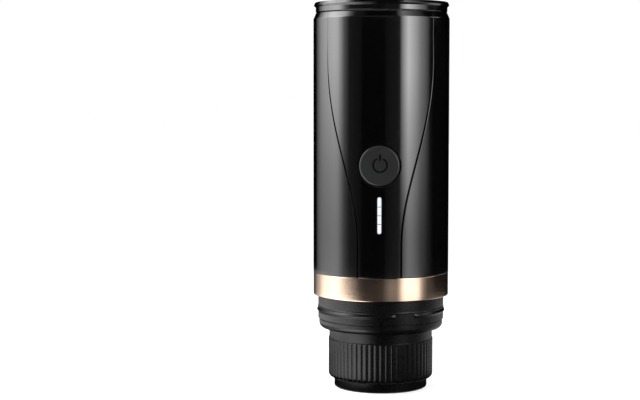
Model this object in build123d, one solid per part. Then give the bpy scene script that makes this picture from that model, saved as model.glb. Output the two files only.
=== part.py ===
from build123d import *
import math
import os

# Portable espresso maker that stands on its capsule holder. Millimetres, Z up, front towards -Y.
# The origin is the centre of the round face that it stands on.

# Heights of the outside, stacked from the table up
spout_height = 5.0
knurl_height = 20.5
shoulder_height = 5.4
collar_height = 17.4
trim_height = 11.8
body_height = 133.0
lid_gap = 0.4
lid_height = 5.0

# Radius of the body, and how far each piece outside stands in from its neighbour
body_radius = 35.0
trim_step = 0.1
lid_step = 0.2
lid_flare = 1.0
lid_flare_bow = 0.17
collar_step = 2.4
band_step = 0.5
knurl_step = 4.9
shoulder_step = 0.4
spout_step = 3.1

# Clearances
running_fit = 0.1
seat_gap = 0.05
free_gap = 0.3
wide_gap = 0.5

# How far a cut runs past the face that it opens
past = 1.0

# Corners and edges
knurl_corner = 2.5
collar_corner = 2.8
trim_bevel = 0.4
body_chamfer_height = 3.0
body_chamfer_width = 1.25

# Capsule holder
holder_wall = 2.9
holder_floor = 2.6
holder_exit_radius = 14.0
rib_count = 58
rib_depth = 0.6
rib_crest_share = 0.44
plate_thickness = 1.2
pyramid_size = 2.4
pyramid_tip = 0.8
pyramid_reach = 2
pyramid_height = 0.9
pyramid_pitch = 5.6
holder_ledge = 3.5

# Outlet cap
outlet_rim_width = 3.0
outlet_recess = 2.4
nozzle_radius = 4.6
nozzle_bore_radius = 2.6
funnel_depth = 1.6
outlet_spigot_height = 2.2
outlet_spigot_wall = 1.6

# Brew chamber, shaped round a capsule with a 37 mm flange
capsule_flange = 1.0
chamber_wall_step = 1.2
cavity_depth = 29.2
cavity_mouth_radius = 15.4
cavity_top_radius = 12.6
guide_length = 14.0
seal_height = 2.0
seal_lip_height = 1.5
seal_lip_depth = 0.3
chamber_flange_height = 4.0
gallery_height = 2.6
gallery_radius = 10.5
needle_plate_thickness = 2.0
needle_length = 4.6
needle_radius = 1.0
needle_tip = 0.5
needle_circle = 6.0
needle_count = 3
needle_start_angle = 90
needle_port_angle = 30
rim_seal_radius = 18.4
rim_seal_width = 2.0
rim_seal_height = 1.6
rim_seal_proud = 0.5

# Base collar
band_height = 5.0
groove_height = 0.4
groove_depth = 0.5
collar_web = 3.0
web_height_above_trim = 0.4
spigot_wall = 1.0
spigot_depth = 6.6
ledge_depth = 0.6
ledge_width = 3.4
index_width = 0.6
index_height = 3.4
index_depth = 0.4
index_offset = 1.4

# Body shell and front panel
body_wall = 3.0
panel_thickness = 1.7
seam_gap = 0.4
panel_foot_half_width = 10.8
panel_head_half_width = 26.3
panel_curve_start = 15.6
panel_curve_end = 109.6
panel_foot_pull = 31.3
panel_head_pull = 39.2
guide_rib_count = 6
guide_rib_start_angle = 30
guide_rib_width = 1.2
guide_rib_depth = 0.9
shell_ledge_width = 1.0
shell_ledge_height = 1.8

# Power button
button_radius = 10.25
button_height = 56.2
button_proud = 0.6
button_travel = 0.8
button_depth = 4.6
button_wall = 1.3
button_edge = 0.7
button_stem_radius = 2.0
button_ear_reach = 1.3
button_ear_width = 6.0
button_ear_thickness = 1.0

# Light bar
light_width = 2.5
light_length = 18.5
light_height = 22.2
light_segments = 4
light_cut = 0.4
light_cut_depth = 0.8

# Charging port
port_width = 8.9
port_thickness = 3.2
port_depth = 7.4
port_wall = 0.35
port_floor = 1.05
tongue_setback = 1.05
port_height = 9.6
cover_width = 13.4
cover_height = 9.4
cover_thickness = 1.6
cover_hinge_corner = 0.54
recess_floor_clearance = 0.2
cover_top_clearance = 0.9
charge_board_width = 20.0
charge_board_height = 18.0
board_thickness = 1.6

# Chassis, cells and boards
chassis_plate = 2.0
upper_plate = 2.5
cell_diameter = 18.2
cell_length = 65.0
cell_tilt = 5.3
cell_board_gap = 2.1
post_radius = 2.5
rear_post_angle = 52.3
rear_post_edge = 3.0
front_post_angle = -56.3
front_post_edge = 5.5
control_board_width = 28.0
control_board_edge = 0.25
switch_size = 6.0
switch_height = 1.8
switch_cap_radius = 1.5
switch_cap_height = 0.8
lamp_size = 1.6
lamp_height = 0.8

# Pump
pump_gap = 1.1
pump_board_gap = 3.3
pump_yoke_wall = 1.0
pump_barrel_radius = 6.0
pump_bore_radius = 4.2
pump_stand_height = 15.0
pump_top_height = 6.0
pump_end_wall = 3.0
pump_coil_margin = 8.0
piston_length = 16.0
piston_hole_radius = 1.2
hose_radius = 3.2
hose_bore_radius = 2.0
hose_grip = 4.0
valve_flange_width = 1.0
valve_flange_height = 2.0
mount_radius = 8.0

# Heater, water tank and neck
heater_gap = 2.5
heater_tube_radius = 2.4
heater_ring_radius = 21.0
heater_ring_opening = 40.0
heater_plate_thickness = 4.0
heater_plate_margin = 4.0
sensor_radius = 4.0
sensor_height = 3.0
tank_side_gap = 2.0
tank_wall = 0.8
tank_corner = 2.4
tank_flange_width = 1.6
tank_flange_thickness = 1.2
fitting_flange_width = 2.0
fitting_flange_height = 1.0
gasket_height = 0.8
neck_depth = 13.1
neck_wall = 4.5
neck_step_height = 3.3
neck_lip_drop = 0.8
neck_skirt_wall = 2.2

# Lid
lid_top = 2.0
lid_edge = 0.7
lid_edge_width = 0.35
lid_waist_height = 0.8
lid_flare_height = 2.9
lid_dish_depth = 0.5
lid_rim_width = 2.6
plug_length = 11.2
plug_wall = 2.0
plug_floor = 1.8
plug_flange_step = 1.0
lid_seal_width = 2.8
vent_radius = 4.0

# Screws
screw_radius = 0.9
screw_head_radius = 1.5
screw_head_height = 0.8
screw_count = 3
screw_start_angle = 30

# Levels worked out from the heights
knurl_low = spout_height
knurl_high = knurl_low + knurl_height
collar_low = knurl_high + shoulder_height
trim_low = collar_low + collar_height
shell_low = trim_low + trim_height
shell_high = shell_low + body_height
lid_low = shell_high + lid_gap
lid_high = lid_low + lid_height
web_low = trim_low + web_height_above_trim
web_high = web_low + collar_web
ledge_high = shell_low + ledge_depth
spigot_high = shell_low + spigot_depth
lower_plate_high = ledge_high + chassis_plate
upper_plate_low = lower_plate_high + cell_length
upper_plate_high = upper_plate_low + upper_plate
holder_floor_high = knurl_low + holder_floor
pyramid_plate_high = holder_floor_high + plate_thickness
chamber_low = pyramid_plate_high + capsule_flange
flange_low = web_low - chamber_flange_height
holder_high = flange_low - free_gap
guide_low = flange_low - guide_length
cavity_high = chamber_low + cavity_depth
needle_plate_high = cavity_high + needle_plate_thickness

# Radii worked out from the body's, first outside and then inside
trim_radius = body_radius - trim_step
lid_radius = body_radius - lid_step
lid_waist_radius = lid_radius - lid_flare
collar_radius = trim_radius - collar_step
band_radius = collar_radius - band_step
knurl_radius = band_radius - knurl_step
shoulder_radius = knurl_radius - shoulder_step
spout_radius = knurl_radius - spout_step
inner_radius = body_radius - body_wall
spigot_radius = inner_radius - running_fit
spigot_inner_radius = spigot_radius - spigot_wall
chassis_radius = spigot_inner_radius - running_fit
ledge_radius = spigot_inner_radius - ledge_width
holder_bore = shoulder_radius - holder_wall
guide_radius = holder_bore - running_fit
chamber_radius = guide_radius - chamber_wall_step
collar_bore = shoulder_radius + wide_gap
flange_radius = collar_bore - running_fit
screw_circle = (guide_radius + flange_radius) / 2
panel_radius = body_radius - panel_thickness
pocket_radius = panel_radius - seat_gap
bore_radius = button_radius + free_gap
button_level = shell_low + button_height
light_low = shell_low + light_height
port_level = shell_low + port_height
cell_radius = cell_diameter / 2
cell_orbit = chassis_radius - running_fit - cell_radius
board_front = math.sqrt(spigot_inner_radius ** 2 - (control_board_width / 2) ** 2) - control_board_edge
board_back = board_front - board_thickness
front_cell_y = -(board_back - cell_board_gap - cell_radius)
front_cut = -inner_radius / 2
back_cut = inner_radius / 2
cover_back_radius = body_radius - cover_thickness
neck_bore_radius = spigot_radius - neck_wall
plug_flange_radius = inner_radius - plug_flange_step
heater_plate_radius = inner_radius - heater_plate_margin

# Room for the pump between the front cell and the charging board
charge_board_back = inner_radius + free_gap - port_depth
pump_front_y = front_cell_y + cell_radius + pump_gap
pump_back_y = charge_board_back - board_thickness - pump_board_gap
pump_radius = (pump_back_y - pump_front_y) / 2
pump_y = (pump_back_y + pump_front_y) / 2


def turned(*corners):
    """Solid turned about the Z axis through (radius, height) corners."""
    return revolve(Plane.XZ * make_face(Polyline(*corners, close=True)), Axis.Z)


def tube(outer, inner, low, high):
    """Round tube about the Z axis."""
    return turned((inner, low), (outer, low), (outer, high), (inner, high))


def disc(radius, low, high):
    """Round solid about the Z axis."""
    return Pos(0, 0, low) * Cylinder(radius, high - low, align=(Align.CENTER, Align.CENTER, Align.MIN))


def block(x_low, x_high, y_low, y_high, z_low, z_high):
    """Box between two corners."""
    box = Box(x_high - x_low, y_high - y_low, z_high - z_low)
    return Pos((x_low + x_high) / 2, (y_low + y_high) / 2, (z_low + z_high) / 2) * box


def round_bar(radius, level, front, back):
    """Round bar that runs along Y from front to back at a height."""
    bar = Cylinder(radius, back - front)
    return Pos(0, (front + back) / 2, level) * Rot(90, 0, 0) * bar


def slot_bar(width, height, level, front, back):
    """Bar of slot section that runs along Y; the longer of its two sizes is its length."""
    if height > width:
        face = Rot(0, 0, 90) * SlotOverall(height, width)
    else:
        face = SlotOverall(width, height)
    return extrude(Plane.XZ * Pos(0, level, -back) * face, back - front)


def around(solid, count, start=0.0):
    """Copies of a solid, evenly spaced about the Z axis."""
    return [Rot(0, 0, start + 360 / count * turn) * solid for turn in range(count)]


def blunt_corner(radius, level, size):
    """Lower outside corner, rounded in two straight steps, as (radius, height) corners."""
    step = size * (1 - math.sqrt(0.5))
    return (
        (radius - size, level),
        (radius - step, level + step),
        (radius, level + size),
    )


# Capsule holder group


def knurl_face():
    """Ring of blunt ribs seen from above, with sharp grooves between them."""
    corners = []
    step = 2 * math.pi / rib_count
    crest_start = (1 - rib_crest_share) / 2
    crest_end = (1 + rib_crest_share) / 2
    for index in range(rib_count):
        for part, depth in ((0, rib_depth), (crest_start, 0), (crest_end, 0)):
            angle = (index + part) * step
            radius = knurl_radius - depth
            corners.append((radius * math.cos(angle), radius * math.sin(angle)))
    return make_face(Polyline(*corners, close=True))


def capsule_holder():
    """Knurled cup that carries the capsule and screws over the brew chamber."""
    ledge_bore = chamber_radius + free_gap
    ledge_high_level = holder_floor_high + holder_ledge
    grip = Pos(0, 0, knurl_low) * extrude(knurl_face(), knurl_height)
    grip &= turned(
        (0, knurl_low),
        *blunt_corner(knurl_radius, knurl_low, knurl_corner),
        (knurl_radius, knurl_high),
        (0, knurl_high),
    )
    neck = disc(shoulder_radius, knurl_high, holder_high)
    hollow = turned(
        (0, holder_floor_high),
        (ledge_bore, holder_floor_high),
        (ledge_bore, ledge_high_level),
        (holder_bore, ledge_high_level),
        (holder_bore, holder_high + past),
        (0, holder_high + past),
    )
    return grip + neck - hollow - disc(holder_exit_radius, knurl_low - past, holder_floor_high + past)


def pyramid_plate():
    """Plate under the capsule: blunt pyramids pierce the foil and a central hole drains the coffee."""
    plate = disc(chamber_radius - seal_lip_depth, holder_floor_high, pyramid_plate_high)
    pyramid = loft(
        [
            Pos(0, 0, pyramid_plate_high) * Rectangle(pyramid_size, pyramid_size),
            Pos(0, 0, pyramid_plate_high + pyramid_height) * Rectangle(pyramid_tip, pyramid_tip),
        ]
    )
    reach = holder_exit_radius - pyramid_size / 2
    pyramids = []
    rows = range(-pyramid_reach, pyramid_reach + 1)
    for column in rows:
        for row in rows:
            place = Pos(column * pyramid_pitch, row * pyramid_pitch, 0)
            if 0 < place.position.length < reach:
                pyramids.append(place * pyramid)
    half = pyramid_size / 2
    drain = block(-half, half, -half, half, holder_floor_high - past, pyramid_plate_high + past)
    return plate + pyramids - drain


def outlet_cap():
    """Foot of the machine: a funnel with a central nozzle, in a rim that it stands on."""
    body = turned(
        (0, 0),
        (spout_radius, 0),
        (spout_radius, spout_height),
        (0, spout_height),
    )
    spigot_outer = holder_exit_radius - running_fit
    spigot_inner = spigot_outer - outlet_spigot_wall
    spigot = tube(
        spigot_outer,
        spigot_inner,
        spout_height,
        spout_height + outlet_spigot_height,
    )
    funnel = turned(
        (0, spout_height - funnel_depth),
        (nozzle_bore_radius, spout_height - funnel_depth),
        (spigot_inner, spout_height),
        (0, spout_height),
    )
    recess = tube(spout_radius - outlet_rim_width, nozzle_radius, -past, outlet_recess)
    return body + spigot - funnel - recess - disc(nozzle_bore_radius, -past, spout_height)


# Brew chamber group


def screw_places(solid):
    """Copies of a screw or its hole on the circle that joins chamber flange and collar web."""
    return around(Pos(screw_circle, 0, 0) * solid, screw_count, screw_start_angle)


def brew_chamber():
    """Conical cup that closes round the capsule, grooved for its seals and welded to the chamber head."""
    groove_high = guide_low
    groove_low = groove_high - seal_height
    lip_low = groove_low - seal_lip_height
    outside = turned(
        (0, chamber_low),
        (chamber_radius, chamber_low),
        (chamber_radius, lip_low),
        (guide_radius - seal_lip_depth, lip_low),
        (guide_radius - seal_lip_depth, groove_low),
        (chamber_radius, groove_low),
        (chamber_radius, groove_high),
        (guide_radius, groove_high),
        (guide_radius, needle_plate_high),
        (0, needle_plate_high),
    )
    cavity = turned(
        (0, chamber_low - past),
        (cavity_mouth_radius, chamber_low - past),
        (cavity_mouth_radius, chamber_low),
        (cavity_top_radius, cavity_high),
        (cavity_top_radius, needle_plate_high + past),
        (0, needle_plate_high + past),
    )
    seal_groove = tube(
        rim_seal_radius,
        rim_seal_radius - rim_seal_width,
        chamber_low - past,
        chamber_low + rim_seal_height - rim_seal_proud,
    )
    return outside - cavity - seal_groove


def chamber_head():
    """Top of the chamber: a gallery over the needle plate, an inlet, and the flange under the collar web."""
    outside = turned(
        (0, needle_plate_high),
        (guide_radius, needle_plate_high),
        (guide_radius, flange_low),
        (flange_radius, flange_low),
        (flange_radius, web_low),
        (0, web_low),
    )
    gallery = disc(gallery_radius, needle_plate_high - past, needle_plate_high + gallery_height)
    inlet = hose_way(hose_bore_radius, needle_plate_high, web_low)
    return outside - gallery - inlet - screw_places(screw_hole())


def needle_plate():
    """Disc at the top of the cavity: its needles pierce the capsule, and its ports let the water in."""
    plate = disc(cavity_top_radius - seat_gap, cavity_high, needle_plate_high)
    needle = loft(
        [
            Pos(0, 0, cavity_high - needle_length) * Rectangle(needle_tip, needle_tip),
            Pos(0, 0, cavity_high) * Rectangle(2 * needle_radius, 2 * needle_radius),
        ]
    )
    half = needle_radius / 2
    port = block(-half, half, -half, half, cavity_high - past, needle_plate_high + past)
    needles = around(Pos(needle_circle, 0, 0) * needle, needle_count, needle_start_angle)
    ports = around(Pos(needle_circle, 0, 0) * port, needle_count, needle_port_angle)
    return plate + needles - ports


def chamber_seal():
    """Ring in the chamber's rim that presses on the capsule flange."""
    return tube(
        rim_seal_radius - seat_gap,
        rim_seal_radius - rim_seal_width + seat_gap,
        chamber_low - rim_seal_proud,
        chamber_low + rim_seal_height - rim_seal_proud,
    )


def holder_seal():
    """Ring in the chamber's groove that runs in the bore of the capsule holder."""
    return tube(
        guide_radius,
        chamber_radius + running_fit,
        guide_low - seal_height + running_fit,
        guide_low - running_fit,
    )


def check_valve():
    """Brass nipple between pressure hose and brew chamber, in the collar web."""
    way = hose_bore_radius / 2
    flange_high = web_high + valve_flange_height
    nipple = turned(
        (way, web_low),
        (hose_radius, web_low),
        (hose_radius, web_high),
        (hose_radius + valve_flange_width, web_high),
        (hose_radius + valve_flange_width, flange_high),
        (hose_bore_radius - seat_gap, flange_high),
        (hose_bore_radius - seat_gap, flange_high + hose_grip),
        (way, flange_high + hose_grip),
    )
    return Pos(0, pump_y, 0) * nipple


def screw_hole():
    """Hole for a countersunk screw that comes from below."""
    return turned(
        (0, flange_low - past),
        (screw_head_radius, flange_low - past),
        (screw_head_radius, flange_low),
        (screw_radius, flange_low + screw_head_height),
        (screw_radius, web_high + past),
        (0, web_high + past),
    )


def collar_screws():
    """Countersunk screws that hold the chamber flange to the collar web."""
    screw = turned(
        (0, flange_low),
        (screw_head_radius - seat_gap, flange_low),
        (screw_radius - seat_gap, flange_low + screw_head_height),
        (screw_radius - seat_gap, web_high),
        (0, web_high),
    )
    return Compound(children=screw_places(screw))


# Outer housing


def base_collar():
    """Collar with the cup's thread land outside and a web and spigot inside."""
    band_high = collar_low + band_height
    outside = turned(
        (collar_bore, collar_low),
        *blunt_corner(band_radius, collar_low, collar_corner),
        (band_radius, band_high - groove_height),
        (band_radius - groove_depth, band_high - groove_height),
        (band_radius - groove_depth, band_high),
        (collar_radius, band_high),
        (collar_radius, trim_low),
        (spigot_radius, trim_low),
        (spigot_radius, spigot_high),
        (spigot_inner_radius, spigot_high),
        (spigot_inner_radius, ledge_high),
        (ledge_radius, ledge_high),
        (ledge_radius, web_high),
        (0, web_high),
        (0, web_low),
        (collar_bore, web_low),
    )
    index_mark = block(
        index_offset - index_width / 2,
        index_offset + index_width / 2,
        -band_radius - past,
        -band_radius + index_depth,
        collar_low + band_height - groove_height - index_height,
        collar_low + band_height - groove_height,
    )
    valve_way = hose_way(hose_radius + seat_gap, web_low, web_high)
    return outside - index_mark - valve_way - screw_places(screw_hole())


def trim_ring():
    """Metal ring between collar and shell."""
    inside = spigot_radius + running_fit
    return turned(
        (inside, trim_low),
        (trim_radius - trim_bevel, trim_low),
        (trim_radius, trim_low + trim_bevel),
        (trim_radius, shell_low - trim_bevel),
        (trim_radius - trim_bevel, shell_low),
        (inside, shell_low),
    )


def panel_prism(margin, low):
    """Prism through the front of the housing with the tulip outline of the front panel."""
    foot = panel_foot_half_width + margin
    head = panel_head_half_width + margin
    start = shell_low + panel_curve_start
    end = shell_low + panel_curve_end
    high = shell_high + past
    edges = Curve()
    for side in (1, -1):
        edges += Line((side * foot, low), (side * foot, start))
        edges += Bezier(
            (side * foot, start),
            (side * foot, start + panel_foot_pull),
            (side * head, end - panel_head_pull),
            (side * head, end),
        )
        edges += Line((side * head, end), (side * head, high))
    edges += Line((-foot, low), (foot, low))
    edges += Line((-head, high), (head, high))
    return extrude(Plane.XZ * make_face(edges), body_radius + past)


def housing_ring(inside, low):
    """Tube of the housing's outer form, chamfered at its top edge."""
    return turned(
        (inside, low),
        (body_radius, low),
        (body_radius, shell_high - body_chamfer_height),
        (body_radius - body_chamfer_width, shell_high),
        (inside, shell_high),
    )


def light_slot(clearance, front, back):
    """Slot bar of the light bar's outline, widened by a clearance."""
    middle = light_low + light_length / 2
    return slot_bar(light_width + 2 * clearance, light_length + 2 * clearance, middle, front, back)


def button_bore(back):
    """Round way for the button through the front of the housing, with the slots for its ears."""
    bore = round_bar(bore_radius, button_level, -body_radius - past, back)
    ear_half = button_ear_width / 2 + free_gap
    ear_reach = button_radius + button_ear_reach + free_gap
    ears = block(
        -ear_half,
        ear_half,
        ear_front() - free_gap,
        back,
        button_level - ear_reach,
        button_level + ear_reach,
    )
    return bore + ears


def ear_front():
    """Front face of the button's ears, just behind the shell's inner wall."""
    return -inner_radius + free_gap


def port_recess():
    """Recess and opening for the charging port at the back."""
    middle = port_level
    half_width = cover_width / 2 + free_gap
    bottom = middle - cover_height / 2 - free_gap
    top = middle + cover_height / 2 + cover_top_clearance
    floor = cover_back_radius - recess_floor_clearance
    recess = block(-half_width, half_width, floor, body_radius + past, bottom, top)
    width = port_width + 2 * free_gap
    thickness = port_thickness + 2 * free_gap
    opening = slot_bar(width, thickness, middle, back_cut, body_radius)
    return recess + opening


def body_shell():
    """Tubular shell with the pocket for the front panel, guide ribs and the tank's ledge inside."""
    shell = housing_ring(inner_radius, shell_low)
    tank_ledge = tube(
        inner_radius,
        inner_radius - shell_ledge_width,
        tank_flange_low() - shell_ledge_height,
        tank_flange_low(),
    )
    rib = block(
        inner_radius - guide_rib_depth,
        inner_radius + seat_gap,
        -guide_rib_width / 2,
        guide_rib_width / 2,
        spigot_high + free_gap,
        upper_plate_high,
    )
    low = shell_low - past
    pocket = panel_prism(seam_gap, low) & tube(body_radius + past, pocket_radius, low, shell_high + past)
    shell = shell + tank_ledge + around(rib, guide_rib_count, guide_rib_start_angle)
    shell -= button_bore(front_cut) + light_slot(running_fit, -body_radius, 0)
    return shell - pocket - port_recess()


def front_panel():
    """Curved panel set into the front of the shell, with its ways for button and light bar."""
    panel = panel_prism(0, shell_low) & housing_ring(panel_radius, shell_low)
    return panel - button_bore(front_cut) - light_slot(running_fit, -body_radius - past, 0)


# Button, lamps and charging port


def power_button():
    """Round button with a hollow back, a stem for the switch and two snap ears."""
    face = -body_radius - button_proud
    back = face + button_depth
    cap = round_bar(button_radius, button_level, face, back)
    front_edge = cap.edges().filter_by(GeomType.CIRCLE).sort_by(Axis.Y)[0]
    cap = chamfer(front_edge, button_edge)
    cap -= round_bar(button_radius - button_wall, button_level, face + button_wall, back + past)
    stem_back = -board_front - switch_height - switch_cap_height - button_travel - running_fit
    stem = round_bar(button_stem_radius, button_level, face + button_wall / 2, stem_back)
    half = button_ear_width / 2
    front = ear_front()
    ears = []
    for side in (1, -1):
        root = button_level + side * (button_radius - button_wall)
        tip = button_level + side * (button_radius + button_ear_reach)
        low, high = sorted((root, tip))
        ears.append(block(-half, half, front, front + button_ear_thickness, low, high))
    return cap + stem + ears


def light_guide():
    """Clear bar that carries the lamps' light to the front, cut into segments at its face."""
    front = -body_radius
    back = -board_front - lamp_height - running_fit
    bar = light_slot(0, front, back)
    pitch = light_length / light_segments
    cuts = []
    for index in range(1, light_segments):
        level = light_low + index * pitch
        cuts.append(
            block(
                -light_width,
                light_width,
                front - past,
                front + light_cut_depth,
                level - light_cut / 2,
                level + light_cut / 2,
            )
        )
    return bar - cuts


def control_board():
    """Upright circuit board behind the front wall, held between the chassis plates."""
    half = control_board_width / 2
    return block(-half, half, -board_front, -board_back, lower_plate_high, upper_plate_low)


def tact_switch():
    """Small switch under the button's stem."""
    half = switch_size / 2
    front = -board_front - switch_height
    base = block(-half, half, front, -board_front, button_level - half, button_level + half)
    return base + round_bar(switch_cap_radius, button_level, front - switch_cap_height, front)


def indicator_lamps():
    """One lamp on the board behind each segment of the light bar."""
    half = lamp_size / 2
    lamps = []
    for index in range(light_segments):
        level = light_low + (index + 0.5) * light_length / light_segments
        front = -board_front - lamp_height
        lamps.append(block(-half, half, front, -board_front, level - half, level + half))
    return Compound(children=lamps)


def charge_board():
    """Small upright board that carries the charging port."""
    half = charge_board_width / 2
    back = charge_board_back
    top = lower_plate_high + charge_board_height
    return block(-half, half, back - board_thickness, back, lower_plate_high, top)


def charge_port():
    """Flat socket with a tongue, set in the opening of the rear wall."""
    front = charge_board_back
    back = front + port_depth
    shell = slot_bar(port_width, port_thickness, port_level, front, back)
    hollow = slot_bar(
        port_width - 2 * port_wall,
        port_thickness - 2 * port_wall,
        port_level,
        front + port_floor,
        back + past,
    )
    tongue_half = port_width / 2 - port_thickness / 2
    tongue = block(
        -tongue_half,
        tongue_half,
        front + port_wall,
        back - tongue_setback,
        port_level - port_wall,
        port_level + port_wall,
    )
    return shell - hollow + tongue


def port_cover():
    """Flap that closes the charging recess; it swings up about its top edge."""
    half = cover_width / 2
    low = port_level - cover_height / 2
    high = port_level + cover_height / 2
    flap = block(-half, half, cover_back_radius, body_radius + past, low, high)
    flap &= disc(body_radius, low - past, high + past)
    hinge_edges = flap.edges().filter_by(Axis.X).group_by(Axis.Z)[-1]
    return fillet(hinge_edges.sort_by(Axis.Y)[0], cover_hinge_corner)


# Chassis and cells


def side_cell_place():
    """Centre of the right-hand cell, against the wall and a little forward."""
    tilt = math.radians(cell_tilt)
    return cell_orbit * math.cos(tilt), -cell_orbit * math.sin(tilt)


def cell_places():
    """Centres of the three cells."""
    x, y = side_cell_place()
    return ((0, front_cell_y), (x, y), (-x, y))


def hose_way(radius, low, high):
    """Round way for a hose, fitting or valve on the pump's axis, cut past both faces of a plate."""
    return Pos(0, pump_y, 0) * disc(radius, low - past, high + past)


def post_places():
    """Centres of the four chassis posts."""
    places = []
    for angle, edge in ((rear_post_angle, rear_post_edge), (front_post_angle, front_post_edge)):
        orbit = chassis_radius - edge
        x = orbit * math.cos(math.radians(angle))
        y = orbit * math.sin(math.radians(angle))
        places += [(x, y), (-x, y)]
    return places


def chassis_lower():
    """Plate on the collar's ledge that carries cells, boards and pump."""
    plate = disc(chassis_radius, ledge_high, lower_plate_high)
    return plate - hose_way(hose_radius + wide_gap, ledge_high, lower_plate_high)


def chassis_upper():
    """Plate over the cells, with the ways for the inlet hose and the button's upper ear."""
    plate = disc(chassis_radius, upper_plate_low, upper_plate_high)
    ear_half = button_ear_width / 2 + free_gap
    ear_back = ear_front() + 2 * button_ear_thickness
    ear_way = block(-ear_half, ear_half, -chassis_radius, ear_back, upper_plate_low, upper_plate_high)
    return plate - hose_way(hose_radius + wide_gap, upper_plate_low, upper_plate_high) - ear_way


def chassis_posts():
    """Four posts between the plates."""
    post = disc(post_radius, lower_plate_high, upper_plate_low)
    return Compound(children=[Pos(x, y, 0) * post for x, y in post_places()])


def battery_cell(place):
    """One round cell, upright between the plates."""
    x, y = place
    return Pos(x, y, 0) * disc(cell_radius, lower_plate_high, upper_plate_low)


# Pump group


def pump_low():
    """Underside of the pump's barrel."""
    return lower_plate_high + pump_stand_height


def pump_high():
    """Top of the pump's barrel."""
    return upper_plate_low - pump_top_height


def pump_barrel():
    """Barrel with a nipple at each end; the piston runs inside it."""
    low = pump_low()
    high = pump_high()
    tip_low = low - hose_grip
    tip_high = high + hose_grip
    nipple = hose_bore_radius - seat_gap
    way = hose_bore_radius / 2
    barrel = turned(
        (way, tip_low),
        (nipple, tip_low),
        (nipple, low),
        (pump_barrel_radius, low),
        (pump_barrel_radius, high),
        (nipple, high),
        (nipple, tip_high),
        (way, tip_high),
        (way, high - pump_end_wall),
        (pump_bore_radius, high - pump_end_wall),
        (pump_bore_radius, low + pump_end_wall),
        (way, low + pump_end_wall),
    )
    return Pos(0, pump_y, 0) * barrel


def pump_coil():
    """Winding round the barrel."""
    low = pump_low() + pump_coil_margin + pump_yoke_wall
    high = pump_high() - pump_coil_margin - pump_yoke_wall
    coil = tube(pump_radius - pump_yoke_wall - seat_gap, pump_barrel_radius + seat_gap, low, high)
    return Pos(0, pump_y, 0) * coil


def pump_yoke():
    """Steel can round the winding."""
    low = pump_low() + pump_coil_margin
    high = pump_high() - pump_coil_margin
    wall = pump_yoke_wall
    can = tube(pump_radius, pump_barrel_radius + seat_gap, low, high)
    room = tube(pump_radius - wall, pump_barrel_radius, low + wall, high - wall)
    return Pos(0, pump_y, 0) * (can - room)


def pump_piston():
    """Drilled plunger in the barrel."""
    middle = (pump_low() + pump_high()) / 2
    plunger = tube(
        pump_bore_radius - running_fit,
        piston_hole_radius,
        middle - piston_length / 2,
        middle + piston_length / 2,
    )
    return Pos(0, pump_y, 0) * plunger


def pump_mounts():
    """Rubber rings that hold the pump between the chassis plates."""
    lower = tube(mount_radius, hose_radius + wide_gap, lower_plate_high, pump_low())
    upper = tube(mount_radius, hose_radius + wide_gap, pump_high(), upper_plate_low)
    return Compound(children=[Pos(0, pump_y, 0) * ring for ring in (lower, upper)])


def pressure_hose():
    """Hose from the pump down to the check valve."""
    hose = tube(hose_radius, hose_bore_radius, web_high + valve_flange_height, pump_low())
    return Pos(0, pump_y, 0) * hose


def inlet_hose():
    """Hose from the tank's fitting down to the pump."""
    hose = tube(hose_radius, hose_bore_radius, pump_high(), fitting_low() + hose_grip)
    return Pos(0, pump_y, 0) * hose


# Heater, tank and neck


def heater_low():
    """Underside of the heater plate, over the insulator and the heating element."""
    return upper_plate_high + heater_gap + 2 * heater_tube_radius


def tank_low():
    """Underside of the water tank."""
    return heater_low() + heater_plate_thickness


def tank_flange_low():
    """Underside of the tank's flange."""
    return neck_low() - gasket_height - tank_flange_thickness


def neck_low():
    """Underside of the neck ring."""
    return shell_high - neck_depth


def fitting_low():
    """Lower tip of the tank's outlet fitting."""
    return tank_low() - heater_plate_thickness - 2 * heater_tube_radius


def tank_radius():
    """Outer radius of the tank's wall."""
    return inner_radius - tank_side_gap


def water_tank():
    """Drawn steel cup with a flange that hangs on the shell's ledge."""
    flange_outer = tank_radius() + tank_flange_width
    low = tank_low()
    flange = tank_flange_low()
    cup = turned(
        (0, low),
        (tank_radius() - tank_corner, low),
        (tank_radius(), low + tank_corner),
        (tank_radius(), flange),
        (flange_outer, flange),
        (flange_outer, flange + tank_flange_thickness),
        (tank_radius() - tank_wall, flange + tank_flange_thickness),
        (tank_radius() - tank_wall, low + tank_corner),
        (tank_radius() - tank_corner, low + tank_wall),
        (0, low + tank_wall),
    )
    return cup - hose_way(hose_radius, low, low + tank_wall)


def tank_fitting():
    """Outlet in the tank's floor, through the heater plate, with a nipple for the inlet hose."""
    inside = hose_bore_radius / 2
    top = tank_low() + tank_wall
    body = turned(
        (inside, fitting_low()),
        (hose_bore_radius - seat_gap, fitting_low()),
        (hose_bore_radius - seat_gap, heater_low()),
        (hose_radius - seat_gap, heater_low()),
        (hose_radius - seat_gap, top),
        (hose_radius + fitting_flange_width, top),
        (hose_radius + fitting_flange_width, top + fitting_flange_height),
        (inside, top + fitting_flange_height),
    )
    return Pos(0, pump_y, 0) * body


def tank_gasket():
    """Flat ring between tank flange and neck ring."""
    return tube(
        tank_radius() + tank_flange_width,
        tank_radius() - tank_wall,
        neck_low() - gasket_height,
        neck_low(),
    )


def heater_plate():
    """Aluminium plate under the tank."""
    plate = disc(heater_plate_radius, heater_low(), tank_low())
    return plate - hose_way(hose_radius, heater_low(), tank_low())


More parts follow.
